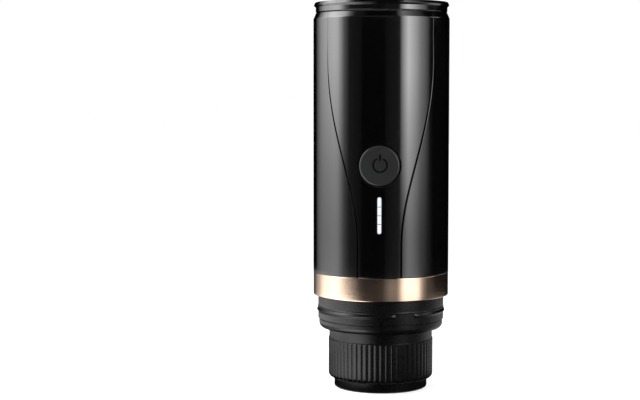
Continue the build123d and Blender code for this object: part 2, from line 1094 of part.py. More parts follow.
def heater_element():
    """Flat-sided heating rod bent round under the plate, open at the back."""
    section = Pos(heater_ring_radius, heater_low() - heater_tube_radius) * Rectangle(
        2 * heater_tube_radius,
        2 * heater_tube_radius,
    )
    rod = revolve(Plane.XZ * section, Axis.Z, 360 - heater_ring_opening)
    return Rot(0, 0, 90 + heater_ring_opening / 2) * rod


def heater_insulator():
    """Felt ring between the upper plate and the heating rod."""
    outer = heater_ring_radius + 2 * heater_tube_radius
    inner = heater_ring_radius - 2 * heater_tube_radius
    return tube(outer, inner, upper_plate_high, upper_plate_high + heater_gap)


def temperature_sensor():
    """Sensor button against the underside of the heater plate."""
    return Pos(0, -pump_y, 0) * disc(sensor_radius, heater_low() - sensor_height, heater_low())


def neck_ring():
    """Threaded ring in the top of the shell that the lid screws into."""
    top = shell_high - neck_lip_drop
    skirt_inner = spigot_radius - neck_skirt_wall
    step = neck_low() + neck_step_height
    return turned(
        (skirt_inner, neck_low()),
        (spigot_radius, neck_low()),
        (spigot_radius, top),
        (neck_bore_radius, top),
        (neck_bore_radius, step),
        (skirt_inner, step - (skirt_inner - neck_bore_radius)),
    )


# Lid group


def plug_radius():
    """Outer radius of the lid plug's skirt."""
    return neck_bore_radius - free_gap


def lid():
    """Outer lid: flared edge, shallow dished top and a skirt over the plug's flange."""
    ceiling = lid_high - lid_top
    skirt_inside = plug_flange_radius + seat_gap
    dish = lid_radius - lid_rim_width
    waist_high = lid_low + lid_waist_height
    return turned(
        (0, ceiling),
        (skirt_inside, ceiling),
        (skirt_inside, lid_low),
        (lid_waist_radius, lid_low),
        (lid_waist_radius, waist_high),
        (lid_waist_radius + lid_flare / 2 - lid_flare_bow, waist_high + lid_flare_height / 2),
        (lid_radius, waist_high + lid_flare_height),
        (lid_radius, lid_high - lid_edge),
        (lid_radius - lid_edge_width, lid_high),
        (dish, lid_high),
        (dish - lid_dish_depth, lid_high - lid_dish_depth),
        (0, lid_high - lid_dish_depth),
    )


def lid_plug():
    """Threaded plug under the lid: a flange, a skirt into the neck and a floor with the vent's seat."""
    ceiling = lid_high - lid_top
    bottom = shell_high - plug_length
    flange_inner = plug_radius() - plug_wall
    plug = turned(
        (0, bottom),
        (plug_radius(), bottom),
        (plug_radius(), lid_low),
        (plug_flange_radius, lid_low),
        (plug_flange_radius, ceiling),
        (flange_inner, ceiling),
        (flange_inner, bottom + plug_floor),
        (0, bottom + plug_floor),
    )
    return plug - disc(vent_radius / 2, bottom - past, bottom + plug_floor + past)


def vent_valve():
    """Rubber valve in the plug's floor that lets air into the tank."""
    bottom = shell_high - plug_length
    return turned(
        (0, bottom - past),
        (vent_radius, bottom - past),
        (vent_radius, bottom),
        (vent_radius / 2 - seat_gap, bottom),
        (vent_radius / 2 - seat_gap, bottom + plug_floor),
        (vent_radius, bottom + plug_floor),
        (vent_radius, bottom + plug_floor + past),
        (0, bottom + plug_floor + past),
    )


def lid_seal():
    """Flat ring between the neck ring and the lid."""
    inner = neck_bore_radius + free_gap
    low = shell_high - neck_lip_drop + seat_gap
    return tube(inner + lid_seal_width, inner, low, lid_low - seat_gap)


nodes = {
    "capsule_holder": capsule_holder,
    "pyramid_plate": pyramid_plate,
    "outlet_cap": outlet_cap,
    "holder_seal": holder_seal,
    "brew_chamber": brew_chamber,
    "chamber_head": chamber_head,
    "needle_plate": needle_plate,
    "chamber_seal": chamber_seal,
    "check_valve": check_valve,
    "collar_screws": collar_screws,
    "base_collar": base_collar,
    "trim_ring": trim_ring,
    "body_shell": body_shell,
    "front_panel": front_panel,
    "power_button": power_button,
    "light_guide": light_guide,
    "control_board": control_board,
    "tact_switch": tact_switch,
    "indicator_lamps": indicator_lamps,
    "charge_board": charge_board,
    "charge_port": charge_port,
    "port_cover": port_cover,
    "chassis_lower": chassis_lower,
    "chassis_upper": chassis_upper,
    "chassis_posts": chassis_posts,
    "pump_barrel": pump_barrel,
    "pump_coil": pump_coil,
    "pump_yoke": pump_yoke,
    "pump_piston": pump_piston,
    "pump_mounts": pump_mounts,
    "pressure_hose": pressure_hose,
    "inlet_hose": inlet_hose,
    "water_tank": water_tank,
    "tank_fitting": tank_fitting,
    "tank_gasket": tank_gasket,
    "heater_plate": heater_plate,
    "heater_element": heater_element,
    "heater_insulator": heater_insulator,
    "temperature_sensor": temperature_sensor,
    "neck_ring": neck_ring,
    "lid": lid,
    "lid_plug": lid_plug,
    "vent_valve": vent_valve,
    "lid_seal": lid_seal,
}

os.makedirs("parts", exist_ok=True)
for name, make in nodes.items():
    export_step(make(), f"parts/{name}.step")
for number, place in enumerate(cell_places(), start=1):
    export_step(battery_cell(place), f"parts/battery_cell_{number}.step")
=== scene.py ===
"""Portable espresso maker: fine outer pieces, materials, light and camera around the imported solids."""

import math

import bpy
import numpy as np
from mathutils.geometry import delaunay_2d_cdt
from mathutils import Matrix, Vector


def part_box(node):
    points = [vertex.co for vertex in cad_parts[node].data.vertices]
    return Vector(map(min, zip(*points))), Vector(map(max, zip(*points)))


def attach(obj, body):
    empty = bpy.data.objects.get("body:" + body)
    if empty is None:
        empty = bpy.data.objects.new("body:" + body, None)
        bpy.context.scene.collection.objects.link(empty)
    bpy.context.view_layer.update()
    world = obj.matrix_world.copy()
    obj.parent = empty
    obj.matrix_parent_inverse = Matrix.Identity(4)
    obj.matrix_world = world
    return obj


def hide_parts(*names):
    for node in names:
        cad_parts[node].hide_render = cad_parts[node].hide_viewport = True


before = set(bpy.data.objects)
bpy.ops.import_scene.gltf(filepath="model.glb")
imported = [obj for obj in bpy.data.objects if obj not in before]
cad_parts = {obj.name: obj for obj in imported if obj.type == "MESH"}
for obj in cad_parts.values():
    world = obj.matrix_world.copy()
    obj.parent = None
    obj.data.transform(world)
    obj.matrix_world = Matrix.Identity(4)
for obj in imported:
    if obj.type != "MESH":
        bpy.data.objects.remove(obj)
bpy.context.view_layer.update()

MM = 0.001
TINY, NO_AREA = 1e-6, 1e-9


def reach(node):
    """Lowest and highest level of a node, in millimetres."""
    low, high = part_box(node)
    return round(low[2] / MM, 3), round(high[2] / MM, 3)


# Sizes in millimetres; the lowest and highest level of each node are read from the imported solids
BODY_RADIUS = 35.0
BODY_LOW, BODY_HIGH = reach("body_shell")
SHOULDER_HEIGHT, SHOULDER_WIDTH = 3.0, 1.25
PANEL_RADIUS, POCKET_RADIUS = 33.3, 33.25
SEAM_HIGH, SEAM_MIDDLE, SEAM_LOW = BODY_LOW + 120, BODY_LOW + 92, BODY_LOW + 40
PANEL_SIDE, SHELL_SIDE = (-0.38, -0.28, 0.0), (0.62, 0.4, 0.09)
SEAM_EDGES = {1: (0.07, 0.45, 0.2), -1: (0.07, 0.12, 0.05)}
FOOT_HALF, HEAD_HALF = 10.8, 26.3
CURVE_LOW, CURVE_HIGH = BODY_LOW + 15.6, BODY_LOW + 109.6
FOOT_PULL, HEAD_PULL = 31.3, 39.2
BUTTON_LEVEL = sum(reach("power_button")) / 2
BUTTON_RADIUS, BORE_RADIUS, BUTTON_FACE, BUTTON_DISH = 10.05, 10.5, 35.45, 0.8
LIGHT_LEVEL = sum(reach("light_guide")) / 2
LIGHT_LOW, LIGHT_HIGH = LIGHT_LEVEL - 9.2, LIGHT_LEVEL + 9.2
LIGHT_HALF, LIGHT_PITCH, LIGHT_CUT = 1.05, 4.3, 0.3
BORE_EDGE, SLOT_EDGE, SLOT_GAP = 0.45, 0.15, 0.1
BORE_FLOOR, SLOT_FLOOR = -31.2, -32.0
LIGHT_FRONT, LIGHT_BACK = -34.97, -28.4
SIGN_ASIDE, SIGN_UP, SIGN_DEPTH = 0.27, 0.33, 0.6
SIGN_RADIUS, SIGN_PEN, SIGN_GAP = 3.45, 0.95, 31
SIGN_BAR_HALF, SIGN_BAR_LOW, SIGN_BAR_HIGH = 0.45, 2.1, 5.45
PORT_LEVEL = sum(reach("port_cover")) / 2
RECESS_HALF, RECESS_DOWN, RECESS_UP, RECESS_CORNER, RECESS_EDGE = 7.0, 5.0, 5.6, 1.3, 0.25
SOCKET_HALF, SOCKET_RISE, SOCKET_CORNER = 4.75, 1.9, 1.89
RECESS_FLOOR, SOCKET_FLOOR = 33.2, 31.5
MOUTH_RADIUS, MOUTH_LOW = 32.0, BODY_HIGH - 14
COVER_HALF, COVER_RISE, COVER_BACK = 6.7, 4.7, 33.4
LID_LOW, LID_HIGH = reach("lid")
LID_RADIUS, LID_WAIST = 34.8, 33.8
PLUG_LOW, PLUG_HIGH = reach("lid_plug")
TRIM_LOW, TRIM_HIGH = reach("trim_ring")
TRIM_RADIUS = 34.9
COLLAR_LOW, COLLAR_HIGH = reach("base_collar")
COLLAR_RADIUS, BAND_RADIUS, BAND_HEIGHT = 32.5, 32.0, 5.0
HOLDER_LOW, HOLDER_HIGH = reach("capsule_holder")
KNURL_RADIUS, KNURL_HEIGHT, NECK_RADIUS = 27.1, 20.5, 26.7
RIB_COUNT, RIB_DEPTH = 58, 0.6
SPOUT_RADIUS = 24.0


# Materials


class Nodes:
    """The emptied node tree of a material or world, with nodes added by kind and inputs."""

    def __init__(self, owner):
        owner.use_nodes = True
        self.tree = owner.node_tree
        self.tree.nodes.clear()

    def join(self, out, into):
        self.tree.links.new(out, into)

    def node(self, kind, **inputs):
        made = self.tree.nodes.new("ShaderNode" + kind)
        for name, value in inputs.items():
            socket = made.inputs[name.replace("_", " ")]
            if isinstance(value, bpy.types.NodeSocket):
                self.join(value, socket)
            else:
                socket.default_value = value
        return made

    def layer(self, name):
        """A value that the mesh carries at its points."""
        made = self.node("Attribute")
        made.attribute_name = name
        return made.outputs["Fac"]

    def backdrop_rays(self):
        """1 for rays from the camera, mirrors and glass, otherwise 0."""
        path = self.node("LightPath")
        out = path.outputs["Is Camera Ray"]
        for kind in ("Is Glossy Ray", "Is Transmission Ray"):
            larger = self.node("Math")
            larger.operation = "MAXIMUM"
            self.join(out, larger.inputs[0])
            self.join(path.outputs[kind], larger.inputs[1])
            out = larger.outputs[0]
        return out


class Finish(Nodes):
    """One procedural material: a principled shader with noise in its colour, roughness and relief."""

    def __init__(self, name, colour, roughness, metallic=0.0, **values):
        self.material = bpy.data.materials.new(name)
        super().__init__(self.material)
        self.material.diffuse_color = (*colour, 1)
        values.update(Base_Color=(*colour, 1), Roughness=roughness, Metallic=metallic)
        self.shader = self.node("BsdfPrincipled", **values)
        self.node("OutputMaterial", Surface=self.shader.outputs["BSDF"])
        self.place = self.node("TexCoord").outputs["Object"]
        self.height = None

    def stretched(self, x, y, z):
        """The surface's own coordinates, stretched along the axes."""
        return self.node("Mapping", Vector=self.place, Scale=(x, y, z)).outputs["Vector"]

    def noise(self, size, detail=3.0, place=None, rough=0.5):
        """Soft noise whose patches are about size millimetres across."""
        scale = 1 / (size * MM)
        made = self.node("TexNoise", Vector=place or self.place, Scale=scale, Detail=detail, Roughness=rough)
        return made.outputs["Fac"]

    def ramp(self, value, low, high, start=0.3, end=0.7):
        """A number that goes from low to high as value goes from start to end."""
        made = self.node("MapRange", Value=value, From_Min=start, From_Max=end, To_Min=low, To_Max=high)
        return made.outputs["Result"]

    def blend(self, value, first, second):
        """Colour between two colours; either may be the output of another node."""
        made = self.node("Mix")
        made.data_type = "RGBA"
        self.join(value, made.inputs["Factor"])
        for socket, colour in ((made.inputs[6], first), (made.inputs[7], second)):
            if isinstance(colour, bpy.types.NodeSocket):
                self.join(colour, socket)
            else:
                socket.default_value = (*colour, 1)
        return made.outputs[2]

    def vary_colour(self, value, first, second):
        self.join(self.blend(value, first, second), self.shader.inputs["Base Color"])

    def vary_roughness(self, value, low, high):
        self.join(self.ramp(value, low, high), self.shader.inputs["Roughness"])

    def relief(self, value, depth, strength=1.0):
        """Adds relief of about depth millimetres to the surface's normal."""
        bump = self.node("Bump", Height=value, Strength=strength, Distance=depth * MM)
        if self.height is not None:
            self.join(self.height, bump.inputs["Normal"])
        self.height = bump.outputs["Normal"]
        self.join(self.height, self.shader.inputs["Normal"])


def shaded(colour, factor):
    return tuple(min(1, part * factor) for part in colour)


def gloss_black():
    coat = {"Coat_Weight": 1.0, "Coat_Roughness": 0.03, "Coat_IOR": 1.5}
    made = Finish("gloss_black", (0.002, 0.002, 0.0022), 0.09, **coat)
    made.vary_colour(made.noise(9), (0.0017, 0.0017, 0.0019), (0.0024, 0.0024, 0.0026))
    made.vary_roughness(made.noise(4, 5), 0.08, 0.14)
    made.relief(made.noise(1.6, 1), 0.0006)
    return made.material


def matte_black():
    made = Finish("matte_black", (0.0035, 0.0035, 0.0037), 0.26, Specular_IOR_Level=0.3)
    grain = made.noise(0.35, 2, rough=0.6)
    made.vary_colour(grain, (0.002, 0.002, 0.0021), (0.005, 0.005, 0.0053))
    made.vary_roughness(grain, 0.2, 0.31)
    made.relief(grain, 0.022, 0.7)
    made.relief(made.noise(0.2, 2), 0.008, 0.6)
    return made.material


def button_black():
    made = Finish("button_black", (0.0155, 0.016, 0.0168), 0.42, Specular_IOR_Level=0.5)
    grain = made.noise(0.25, 2)
    sunk = made.layer("sunk")
    flat = made.blend(made.noise(5), (0.0142, 0.0147, 0.0155), (0.0172, 0.0177, 0.0186))
    # The engraved sign's walls and floor are painted near-black: painted shade in the engraving.
    made.vary_colour(sunk, flat, (0.0015, 0.0015, 0.0015))
    made.vary_roughness(grain, 0.38, 0.48)
    made.relief(grain, 0.01, 0.5)
    return made.material


def rose_gold():
    made = Finish("rose_gold", (0.87, 0.64, 0.48), 0.1, 1.0, Anisotropic=0.3)
    lines = made.noise(0.5, 3, made.stretched(0.05, 0.05, 3.0))
    made.vary_colour(made.noise(8, 3, made.stretched(1, 1, 0.4)), (0.85, 0.62, 0.46), (0.89, 0.66, 0.50))
    made.vary_roughness(lines, 0.07, 0.12)
    made.relief(lines, 0.0012, 0.5)
    return made.material


def metal(name, colour, roughness, brush=(0.06, 0.06, 2.5)):
    made = Finish(name, colour, roughness, 1.0)
    lines = made.noise(0.4, 3, made.stretched(*brush))
    made.vary_colour(made.noise(5, 4), shaded(colour, 0.9), shaded(colour, 1.06))
    made.vary_roughness(lines, roughness * 0.75, roughness * 1.3)
    made.relief(lines, 0.006, 0.5)
    return made.material


def copper():
    made = Finish("copper", (0.62, 0.25, 0.12), 0.3, 1.0, Coat_Weight=0.6, Coat_Roughness=0.1)
    wave = made.node("TexWave", Vector=made.place, Scale=700, Distortion=0.3)
    wave.wave_type, wave.bands_direction, wave.wave_profile = "BANDS", "Z", "SIN"
    # The same bands that give the windings' relief darken the colour in the grooves between turns: painted
    # shade.
    made.vary_colour(wave.outputs["Fac"], (0.32, 0.11, 0.05), (0.70, 0.30, 0.15))
    made.vary_roughness(made.noise(1), 0.24, 0.38)
    made.relief(wave.outputs["Fac"], 0.12)
    return made.material


def light_white():
    made = Finish("light_white", (0.4, 0.42, 0.43), 0.25, Emission_Strength=0.68)
    sunk = made.layer("sunk")
    glow = made.noise(2.2, 2)
    lit = made.blend(glow, (0.90, 0.98, 1.0), (1.0, 1.0, 1.0))
    tint = made.blend(sunk, lit, (0.05, 0.05, 0.05))
    made.join(tint, made.shader.inputs["Emission Color"])
    made.vary_colour(sunk, (0.36, 0.38, 0.39), (0.1, 0.1, 0.11))
    made.vary_roughness(made.noise(0.6), 0.2, 0.32)
    made.relief(made.noise(0.8), 0.004)
    return made.material


def rubber(name, colour, roughness=0.55, **values):
    made = Finish(name, colour, roughness, **values)
    grain = made.noise(0.3, 3)
    made.vary_colour(made.noise(3, 4), shaded(colour, 0.85), shaded(colour, 1.12))
    made.vary_roughness(grain, roughness - 0.08, roughness + 0.1)
    made.relief(grain, 0.02, 0.5)
    return made.material


def board_green():
    made = Finish("board_green", (0.015, 0.12, 0.05), 0.3, Coat_Weight=0.4, Coat_Roughness=0.15)
    lanes = made.node("TexVoronoi", Vector=made.place, Scale=420)
    lanes.distance, lanes.feature = "CHEBYCHEV", "F1"
    copper_lane = made.ramp(lanes.outputs["Distance"], 0, 1, 0.42, 0.46)
    made.vary_colour(copper_lane, (0.010, 0.09, 0.035), (0.03, 0.21, 0.09))
    made.vary_roughness(made.noise(0.8), 0.22, 0.4)
    made.relief(copper_lane, 0.03)
    return made.material


def cell_wrap():
    made = Finish("cell_wrap", (0.03, 0.16, 0.3), 0.28, Coat_Weight=0.5, Coat_Roughness=0.1)
    wrinkles = made.noise(3, 3, made.stretched(1, 1, 0.25))
    made.vary_colour(made.noise(8, 3), (0.025, 0.14, 0.27), (0.04, 0.19, 0.34))
    made.vary_roughness(wrinkles, 0.2, 0.36)
    made.relief(wrinkles, 0.04, 0.5)
    return made.material


def felt():
    made = Finish("felt", (0.6, 0.57, 0.5), 0.95, Sheen_Weight=0.3)
    fibres = made.noise(0.3, 6, made.stretched(1, 1, 2.5), 0.7)
    made.vary_colour(fibres, (0.42, 0.40, 0.35), (0.72, 0.69, 0.62))
    made.vary_roughness(fibres, 0.85, 1.0)
    made.relief(fibres, 0.15)
    return made.material


FINISHES = {
    "gloss_black": gloss_black(),
    "matte_black": matte_black(),
    "button_black": button_black(),
    "rose_gold": rose_gold(),
    "steel": metal("steel", (0.56, 0.56, 0.55), 0.28),
    "light_white": light_white(),
    "rubber_black": rubber("rubber_black", (0.014, 0.014, 0.014)),
    "silicone": rubber("silicone", (0.52, 0.51, 0.48), 0.42, Subsurface_Weight=0.2, Subsurface_Scale=0.002),
    "inner_plastic": rubber("inner_plastic", (0.045, 0.045, 0.047), 0.48),
    "cell_wrap": cell_wrap(),
    "copper": copper(),
    "brass": metal("brass", (0.72, 0.5, 0.22), 0.24),
    "aluminium": metal("aluminium", (0.7, 0.71, 0.72), 0.34, (1.5, 1.5, 1.5)),
    "board_green": board_green(),
    "felt": felt(),
}

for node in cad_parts.values():
    for place in node.material_slots:
        place.material = FINISHES[place.material.name.split(".")[0]]


# Meshes with exact normals


def unit(vectors):
    vectors = np.asarray(vectors, float)
    return vectors / np.maximum(np.linalg.norm(vectors, axis=-1, keepdims=True), 1e-12)


def as_vectors(*parts):
    """Vectors from their parts, each a number or an array."""
    return np.stack(np.broadcast_arrays(*parts), -1)


def with_y(place, y):
    """Vectors of the (x, z) plane, given a y."""
    return as_vectors(place[:, 0], y, place[:, 1])


def circle(angles):
    return as_vectors(np.cos(angles), np.sin(angles))


class Skin:
    """Points, exact normals and faces of one mesh, gathered in millimetres."""

    def __init__(self):
        self.points, self.normals, self.faces, self.sunk = [], [], [], []

    def add(self, points, normals, faces, sunk=0.0):
        """Adds a patch; sunk marks the floor of an engraving for the material."""
        start = len(self.points)
        self.points.extend(np.asarray(points, float).reshape(-1, 3).tolist())
        self.normals.extend(unit(normals).reshape(-1, 3).tolist())
        self.faces.extend([start + index for index in face] for face in faces)
        self.sunk.extend([sunk] * (len(self.points) - start))

    def turn_to_front(self, level):
        """Turns all that was made about the Z axis to lie about a line along Y at a level."""
        for vectors, lift in ((self.points, level), (self.normals, 0.0)):
            vectors[:] = [[x, -z, lift - y] for x, y, z in vectors]

    def grid(self, points, normals, closed=False, sunk=0.0):
        """Rows of points joined by faces; closed joins the last column to the first."""
        rows, columns = np.shape(points)[:2]
        across = columns if closed else columns - 1
        faces = []
        for row in range(rows - 1):
            for column in range(across):
                beside = (column + 1) % columns
                low, high = row * columns, (row + 1) * columns
                faces.append((low + column, low + beside, high + beside, high + column))
        self.add(points, normals, faces, sunk)

    def turn(self, rows, count=288):
        """Surface turned about the Z axis from (radius, height, normal) rows; azimuth 0 is the front."""
        angles = np.radians(360.0 * np.arange(count) / count)
        around = as_vectors(np.sin(angles), -np.cos(angles), 1.0)
        rows = np.array(rows, float)[:, None, :]
        points, normals = rows[:, :, [0, 0, 1]] * around, rows[:, :, [2, 2, 3]] * around
        self.grid(points, normals, closed=True)

    def ring(self, levels, radius, count=576):
        """Surface round the Z axis, its radius worked out from azimuth (radians from the front) and level."""
        turned, height = np.meshgrid(np.linspace(0, 2 * math.pi, count, endpoint=False), levels)
        away = radius(turned, height)
        points = as_vectors(away * np.sin(turned), -away * np.cos(turned), height)
        along = np.gradient(np.concatenate([points[:, -1:], points, points[:, :1]], 1), axis=1)[:, 1:-1]
        normals = np.cross(along, np.gradient(points, axis=0))
        outward = points * (1, 1, 0)
        normals *= np.sign((normals * outward).sum(-1, keepdims=True) + NO_AREA)
        self.grid(points, normals, closed=True)

    def piece(self, name, slot, body, *nodes):
        """Makes the object, which rides on its body and stands for the nodes."""
        points, normals = np.array(self.points), np.array(self.normals)
        faces = []
        for face in self.faces:
            pairs = zip(face, face[1:] + face[:1])
            kept = [here for here, ahead in pairs if np.abs(points[here] - points[ahead]).max() > TINY]
            if len(kept) < 3:
                continue
            corners = points[kept]
            area = np.cross(corners[2] - corners[0], corners[-1] - corners[1])
            if np.abs(area).max() < NO_AREA:
                continue
            faces.append(kept if area.dot(normals[kept].sum(0)) > 0 else kept[::-1])
        mesh = bpy.data.meshes.new(name)
        mesh.from_pydata((points * MM).tolist(), [], faces)
        mesh.polygons.foreach_set("use_smooth", [True] * len(faces))
        mesh.materials.append(FINISHES[slot])
        mesh.normals_split_custom_set_from_vertices(normals.tolist())
        layer = mesh.attributes.new("sunk", "FLOAT", "POINT")
        layer.data.foreach_set("value", np.array(self.sunk, np.float32))
        made = bpy.data.objects.new(name, mesh)
        bpy.context.scene.collection.objects.link(made)
        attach(made, body)
        if nodes:
            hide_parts(*nodes)


def section(corners, closed=True, facet=math.radians(14)):
    """Rounded cross-section from (radius, height, rounding) corners, anticlockwise, radius to the right."""
    rows = []
    count = len(corners)
    for index, (radius, height, rounding) in enumerate(corners):
        here = np.array([radius, height], float)
        ahead = unit(np.array(corners[(index + 1) % count][:2]) - here)
        behind = unit(here - np.array(corners[index - 1][:2]))
        if not closed and index == 0:
            behind = ahead
        if not closed and index == count - 1:
            ahead = behind
        first, last = np.array([behind[1], -behind[0]]), np.array([ahead[1], -ahead[0]])
        turn = math.atan2(behind[0] * ahead[1] - behind[1] * ahead[0], behind.dot(ahead))
        if rounding == 0 or abs(turn) < TINY:
            rows += [(*here, *first), (*here, *last)]
            continue
        side = math.copysign(rounding, turn)
        centre = here - behind * rounding * math.tan(abs(turn) / 2) - first * side
        steps = max(3, math.ceil(abs(turn) / facet))
        for step in range(steps + 1):
            angle = turn * step / steps
            cosine, sine = math.cos(angle), math.sin(angle)
            normal = first * cosine + np.array([-first[1], first[0]]) * sine
            rows.append((*(centre + normal * side), *normal))
    return rows + rows[:1] if closed else rows[1:-1]


def inside(loop, points):
    """Which points lie inside a closed loop of points in the plane."""
    x, y = points[:, 0][:, None], points[:, 1][:, None]
    ax, ay = loop[:, 0], loop[:, 1]
    bx, by = np.roll(ax, -1), np.roll(ay, -1)
    spans = (ay > y) != (by > y)
    with np.errstate(divide="ignore", invalid="ignore"):
        crossing = ax + (y - ay) * (bx - ax) / (by - ay)
    return (spans & (x < crossing)).sum(1) % 2 == 1


def divided(loop, step):
    """Closed (s, v) loop whose edges along s are cut into steps, so that they bend round the housing."""
    points = []
    for here, ahead in zip(loop, np.roll(loop, -1, axis=0)):
        level = abs(ahead[1] - here[1]) < TINY
        count = max(1, math.ceil(abs(ahead[0] - here[0]) / step)) if level else 1
        points += [here + (ahead - here) * index / count for index in range(count)]
    return np.array(points)


def fill(outline, holes=(), points=(), ties=(), merge=1e-5):
    """Triangles that fill an outline outside its holes, through loose points; ties join pairs of them."""
    loops = [np.asarray(outline, float)] + [np.asarray(hole, float) for hole in holes]
    places, edges = [], []
    for loop in loops:
        start, count = len(places), len(loop)
        places += loop.tolist()
        edges += [(start + index, start + (index + 1) % count) for index in range(count)]
    start = len(places)
    places += list(points)
    edges += [(start + first, start + second) for first, second in ties]
    made = delaunay_2d_cdt([tuple(place) for place in places], edges, [], 0, merge, False)
    spots = np.array([tuple(place) for place in made[0]])
    faces = np.array([tuple(face) for face in made[2]])
    middles = spots[faces].mean(1)
    keep = inside(loops[0], middles)
    for hole in loops[1:]:
        keep &= ~inside(hole, middles)
    return spots, faces[keep].tolist()


# Form of the housing: s runs round it from the front, v up its wall

housing = [
    (PANEL_RADIUS, BODY_LOW, 0), (BODY_RADIUS, BODY_LOW, 0.25),
    (BODY_RADIUS, BODY_HIGH - SHOULDER_HEIGHT, 1.2), (BODY_RADIUS - SHOULDER_WIDTH, BODY_HIGH, 0.5),
    (PANEL_RADIUS, BODY_HIGH, 0),
]
form = np.array(section(housing, False))
form_v = np.concatenate([[0], np.cumsum(np.linalg.norm(np.diff(form[:, :2], axis=0), axis=1))])
upright = int(np.argmax(form[:, 2] > 0.9999))
form_v += form[upright, 1] - form_v[upright]
straight = form[:, 2] > 0.9999
wall_low, wall_high = form_v[straight].min(), form_v[straight].max()
WALL_LEVELS = np.linspace(wall_low, wall_high, 106)
LEVELS = np.concatenate([form_v[form_v < wall_low], WALL_LEVELS, form_v[form_v > wall_high]])


def on_body(s, v, depth=0.0):
    """Points, normals and the directions of growing s and v on the housing, at a depth under its surface."""
    s, v = np.asarray(s, float), np.asarray(v, float)
    radius, height, out, up = (np.interp(v, form_v, form[:, column]) for column in range(4))
    length = np.hypot(out, up)
    out, up = out / length, up / length
    sine, cosine = np.sin(s / BODY_RADIUS), -np.cos(s / BODY_RADIUS)
    normal = as_vectors(out * sine, out * cosine, up)
    point = as_vectors(radius * sine, radius * cosine, height) - np.asarray(depth)[..., None] * normal
    side = as_vectors(-cosine, sine, 0.0)
    rise = as_vectors(-up * sine, -up * cosine, out)
    return point, normal, side, rise


def seam(levels):
    """Half of the front panel's outline: distance s, level v, and the direction out of the panel."""
    t = np.linspace(0, 1, 400)[:, None]
    foot = [(FOOT_HALF, CURVE_LOW), (FOOT_HALF, CURVE_LOW + FOOT_PULL)]
    head = [(HEAD_HALF, CURVE_HIGH - HEAD_PULL), (HEAD_HALF, CURVE_HIGH)]
    ends = np.array(foot + head)
    early, late = ends[0] * (1 - t) ** 3 + 3 * ends[1] * t * (1 - t) ** 2, 3 * ends[2] * t**2 * (1 - t)
    curve = early + late + ends[3] * t**3
    height = np.interp(levels, form_v, form[:, 1])
    radius = np.interp(levels, form_v, form[:, 0])
    half = np.interp(height, curve[:, 1], curve[:, 0])
    s = BODY_RADIUS * np.arcsin(half / radius)
    slope_s, slope_v = np.gradient(s), np.gradient(levels)
    across = as_vectors(slope_v, -slope_s)
    upright_ends = (height < CURVE_LOW) | (height > CURVE_HIGH)
    across[upright_ends] = (1, 0)
    return s, levels, unit(across)


def seam_sizes(v, facing, side):
    """Offset and rounding of the panel (facing 1) or shell (-1) at the right (side 1) or left (-1) seam."""
    stops = (SEAM_LOW, SEAM_MIDDLE, SEAM_HIGH)
    offset = np.interp(v, stops, PANEL_SIDE if facing > 0 else SHELL_SIDE)
    return offset, np.interp(v, stops, SEAM_EDGES[side])


def seam_edge(skin, facing, depth):
    """Rounded edges of the panel (facing 1) or the shell (-1) along both seams, down to a depth."""
    s, v, across = seam(LEVELS)
    for hand in (1, -1):
        wall, edge = seam_sizes(v, facing, hand)
        rows = []
        for angle in np.linspace(0, math.pi / 2, 7):
            rows.append((wall - facing * edge * (1 - math.sin(angle)), edge * (1 - math.cos(angle)), angle))
        rows.append((wall, np.full(len(v), depth), math.pi / 2))
        points, normals = [], []
        for back, below, angle in rows:
            point, normal, side, rise = on_body(s + across[:, 0] * back, v + across[:, 1] * back, below)
            lean = (side * across[:, :1] + rise * across[:, 1:]) * facing
            points.append(point)
            normals.append(normal * math.cos(angle) + lean * math.sin(angle))
        skin.grid(np.array(points) * (hand, 1, 1), np.array(normals) * (hand, 1, 1))


def bar_loop(half_width, low, high, count=24):
    """Upright slot outline with round ends: points and outward directions in the (x, z) plane."""
    top = circle(np.linspace(0, math.pi, count))
    upper, lower = top * half_width + (0, high - half_width), -top * half_width + (0, low + half_width)
    return np.concatenate([upper, lower]), np.concatenate([top, -top])


def round_loop(radius, level, count=144):
    outward = circle(np.linspace(0, 2 * math.pi, count, endpoint=False))
    return outward * radius + (0, level), outward


def box_loop(half_width, low, high, corner, count=7):
    """Rounded rectangle: points and outward directions in the (x, z) plane."""
    points, outward = [], []
    middles = ((half_width - corner, high - corner), (corner - half_width, high - corner),
               (corner - half_width, low + corner), (half_width - corner, low + corner))
    for quarter, middle in enumerate(middles):
        for angle in np.linspace(0, math.pi / 2, count) + quarter * math.pi / 2:
            outward.append((math.cos(angle), math.sin(angle)))
            points.append((middle[0] + corner * math.cos(angle), middle[1] + corner * math.sin(angle)))
    return np.array(points), np.array(outward)


def unrolled(points, back=False):
    """Points of the (x, z) plane laid on the front or back of the housing, as (s, v)."""
    s = BODY_RADIUS * np.arcsin(points[:, 0] / BODY_RADIUS)
    return as_vectors(math.pi * BODY_RADIUS - s if back else s, points[:, 1])


def on_wall(place, side):
    """Y and normals of the housing's wall at (x, z) places, at the front (side -1) or back (1)."""
    wall = side * np.sqrt(BODY_RADIUS**2 - place[:, 0] ** 2)
    return wall, as_vectors(place[:, 0], wall, 0.0) / BODY_RADIUS


def edge_wall(skin, loop, outward, rounding, floor, side=-1, solid=1, face=on_wall, count=6, sunk=0.0):
    """Rounded edge and wall along a loop, from a face down to a plane across Y; solid is -1 for a hole."""
    rows, normals = [], []
    lean = solid * with_y(outward, 0.0)
    for angle in np.linspace(0, math.pi / 2, count):
        place = loop - solid * outward * rounding * (1 - math.sin(angle))
        y, normal = face(place, side)
        rows.append(with_y(place, y - side * rounding * (1 - math.cos(angle))))
        normals.append(normal * math.cos(angle) + lean * math.sin(angle))
    rows.append(with_y(loop, floor))
    normals.append(normals[-1])
    skin.grid(rows, normals, closed=True, sunk=sunk)


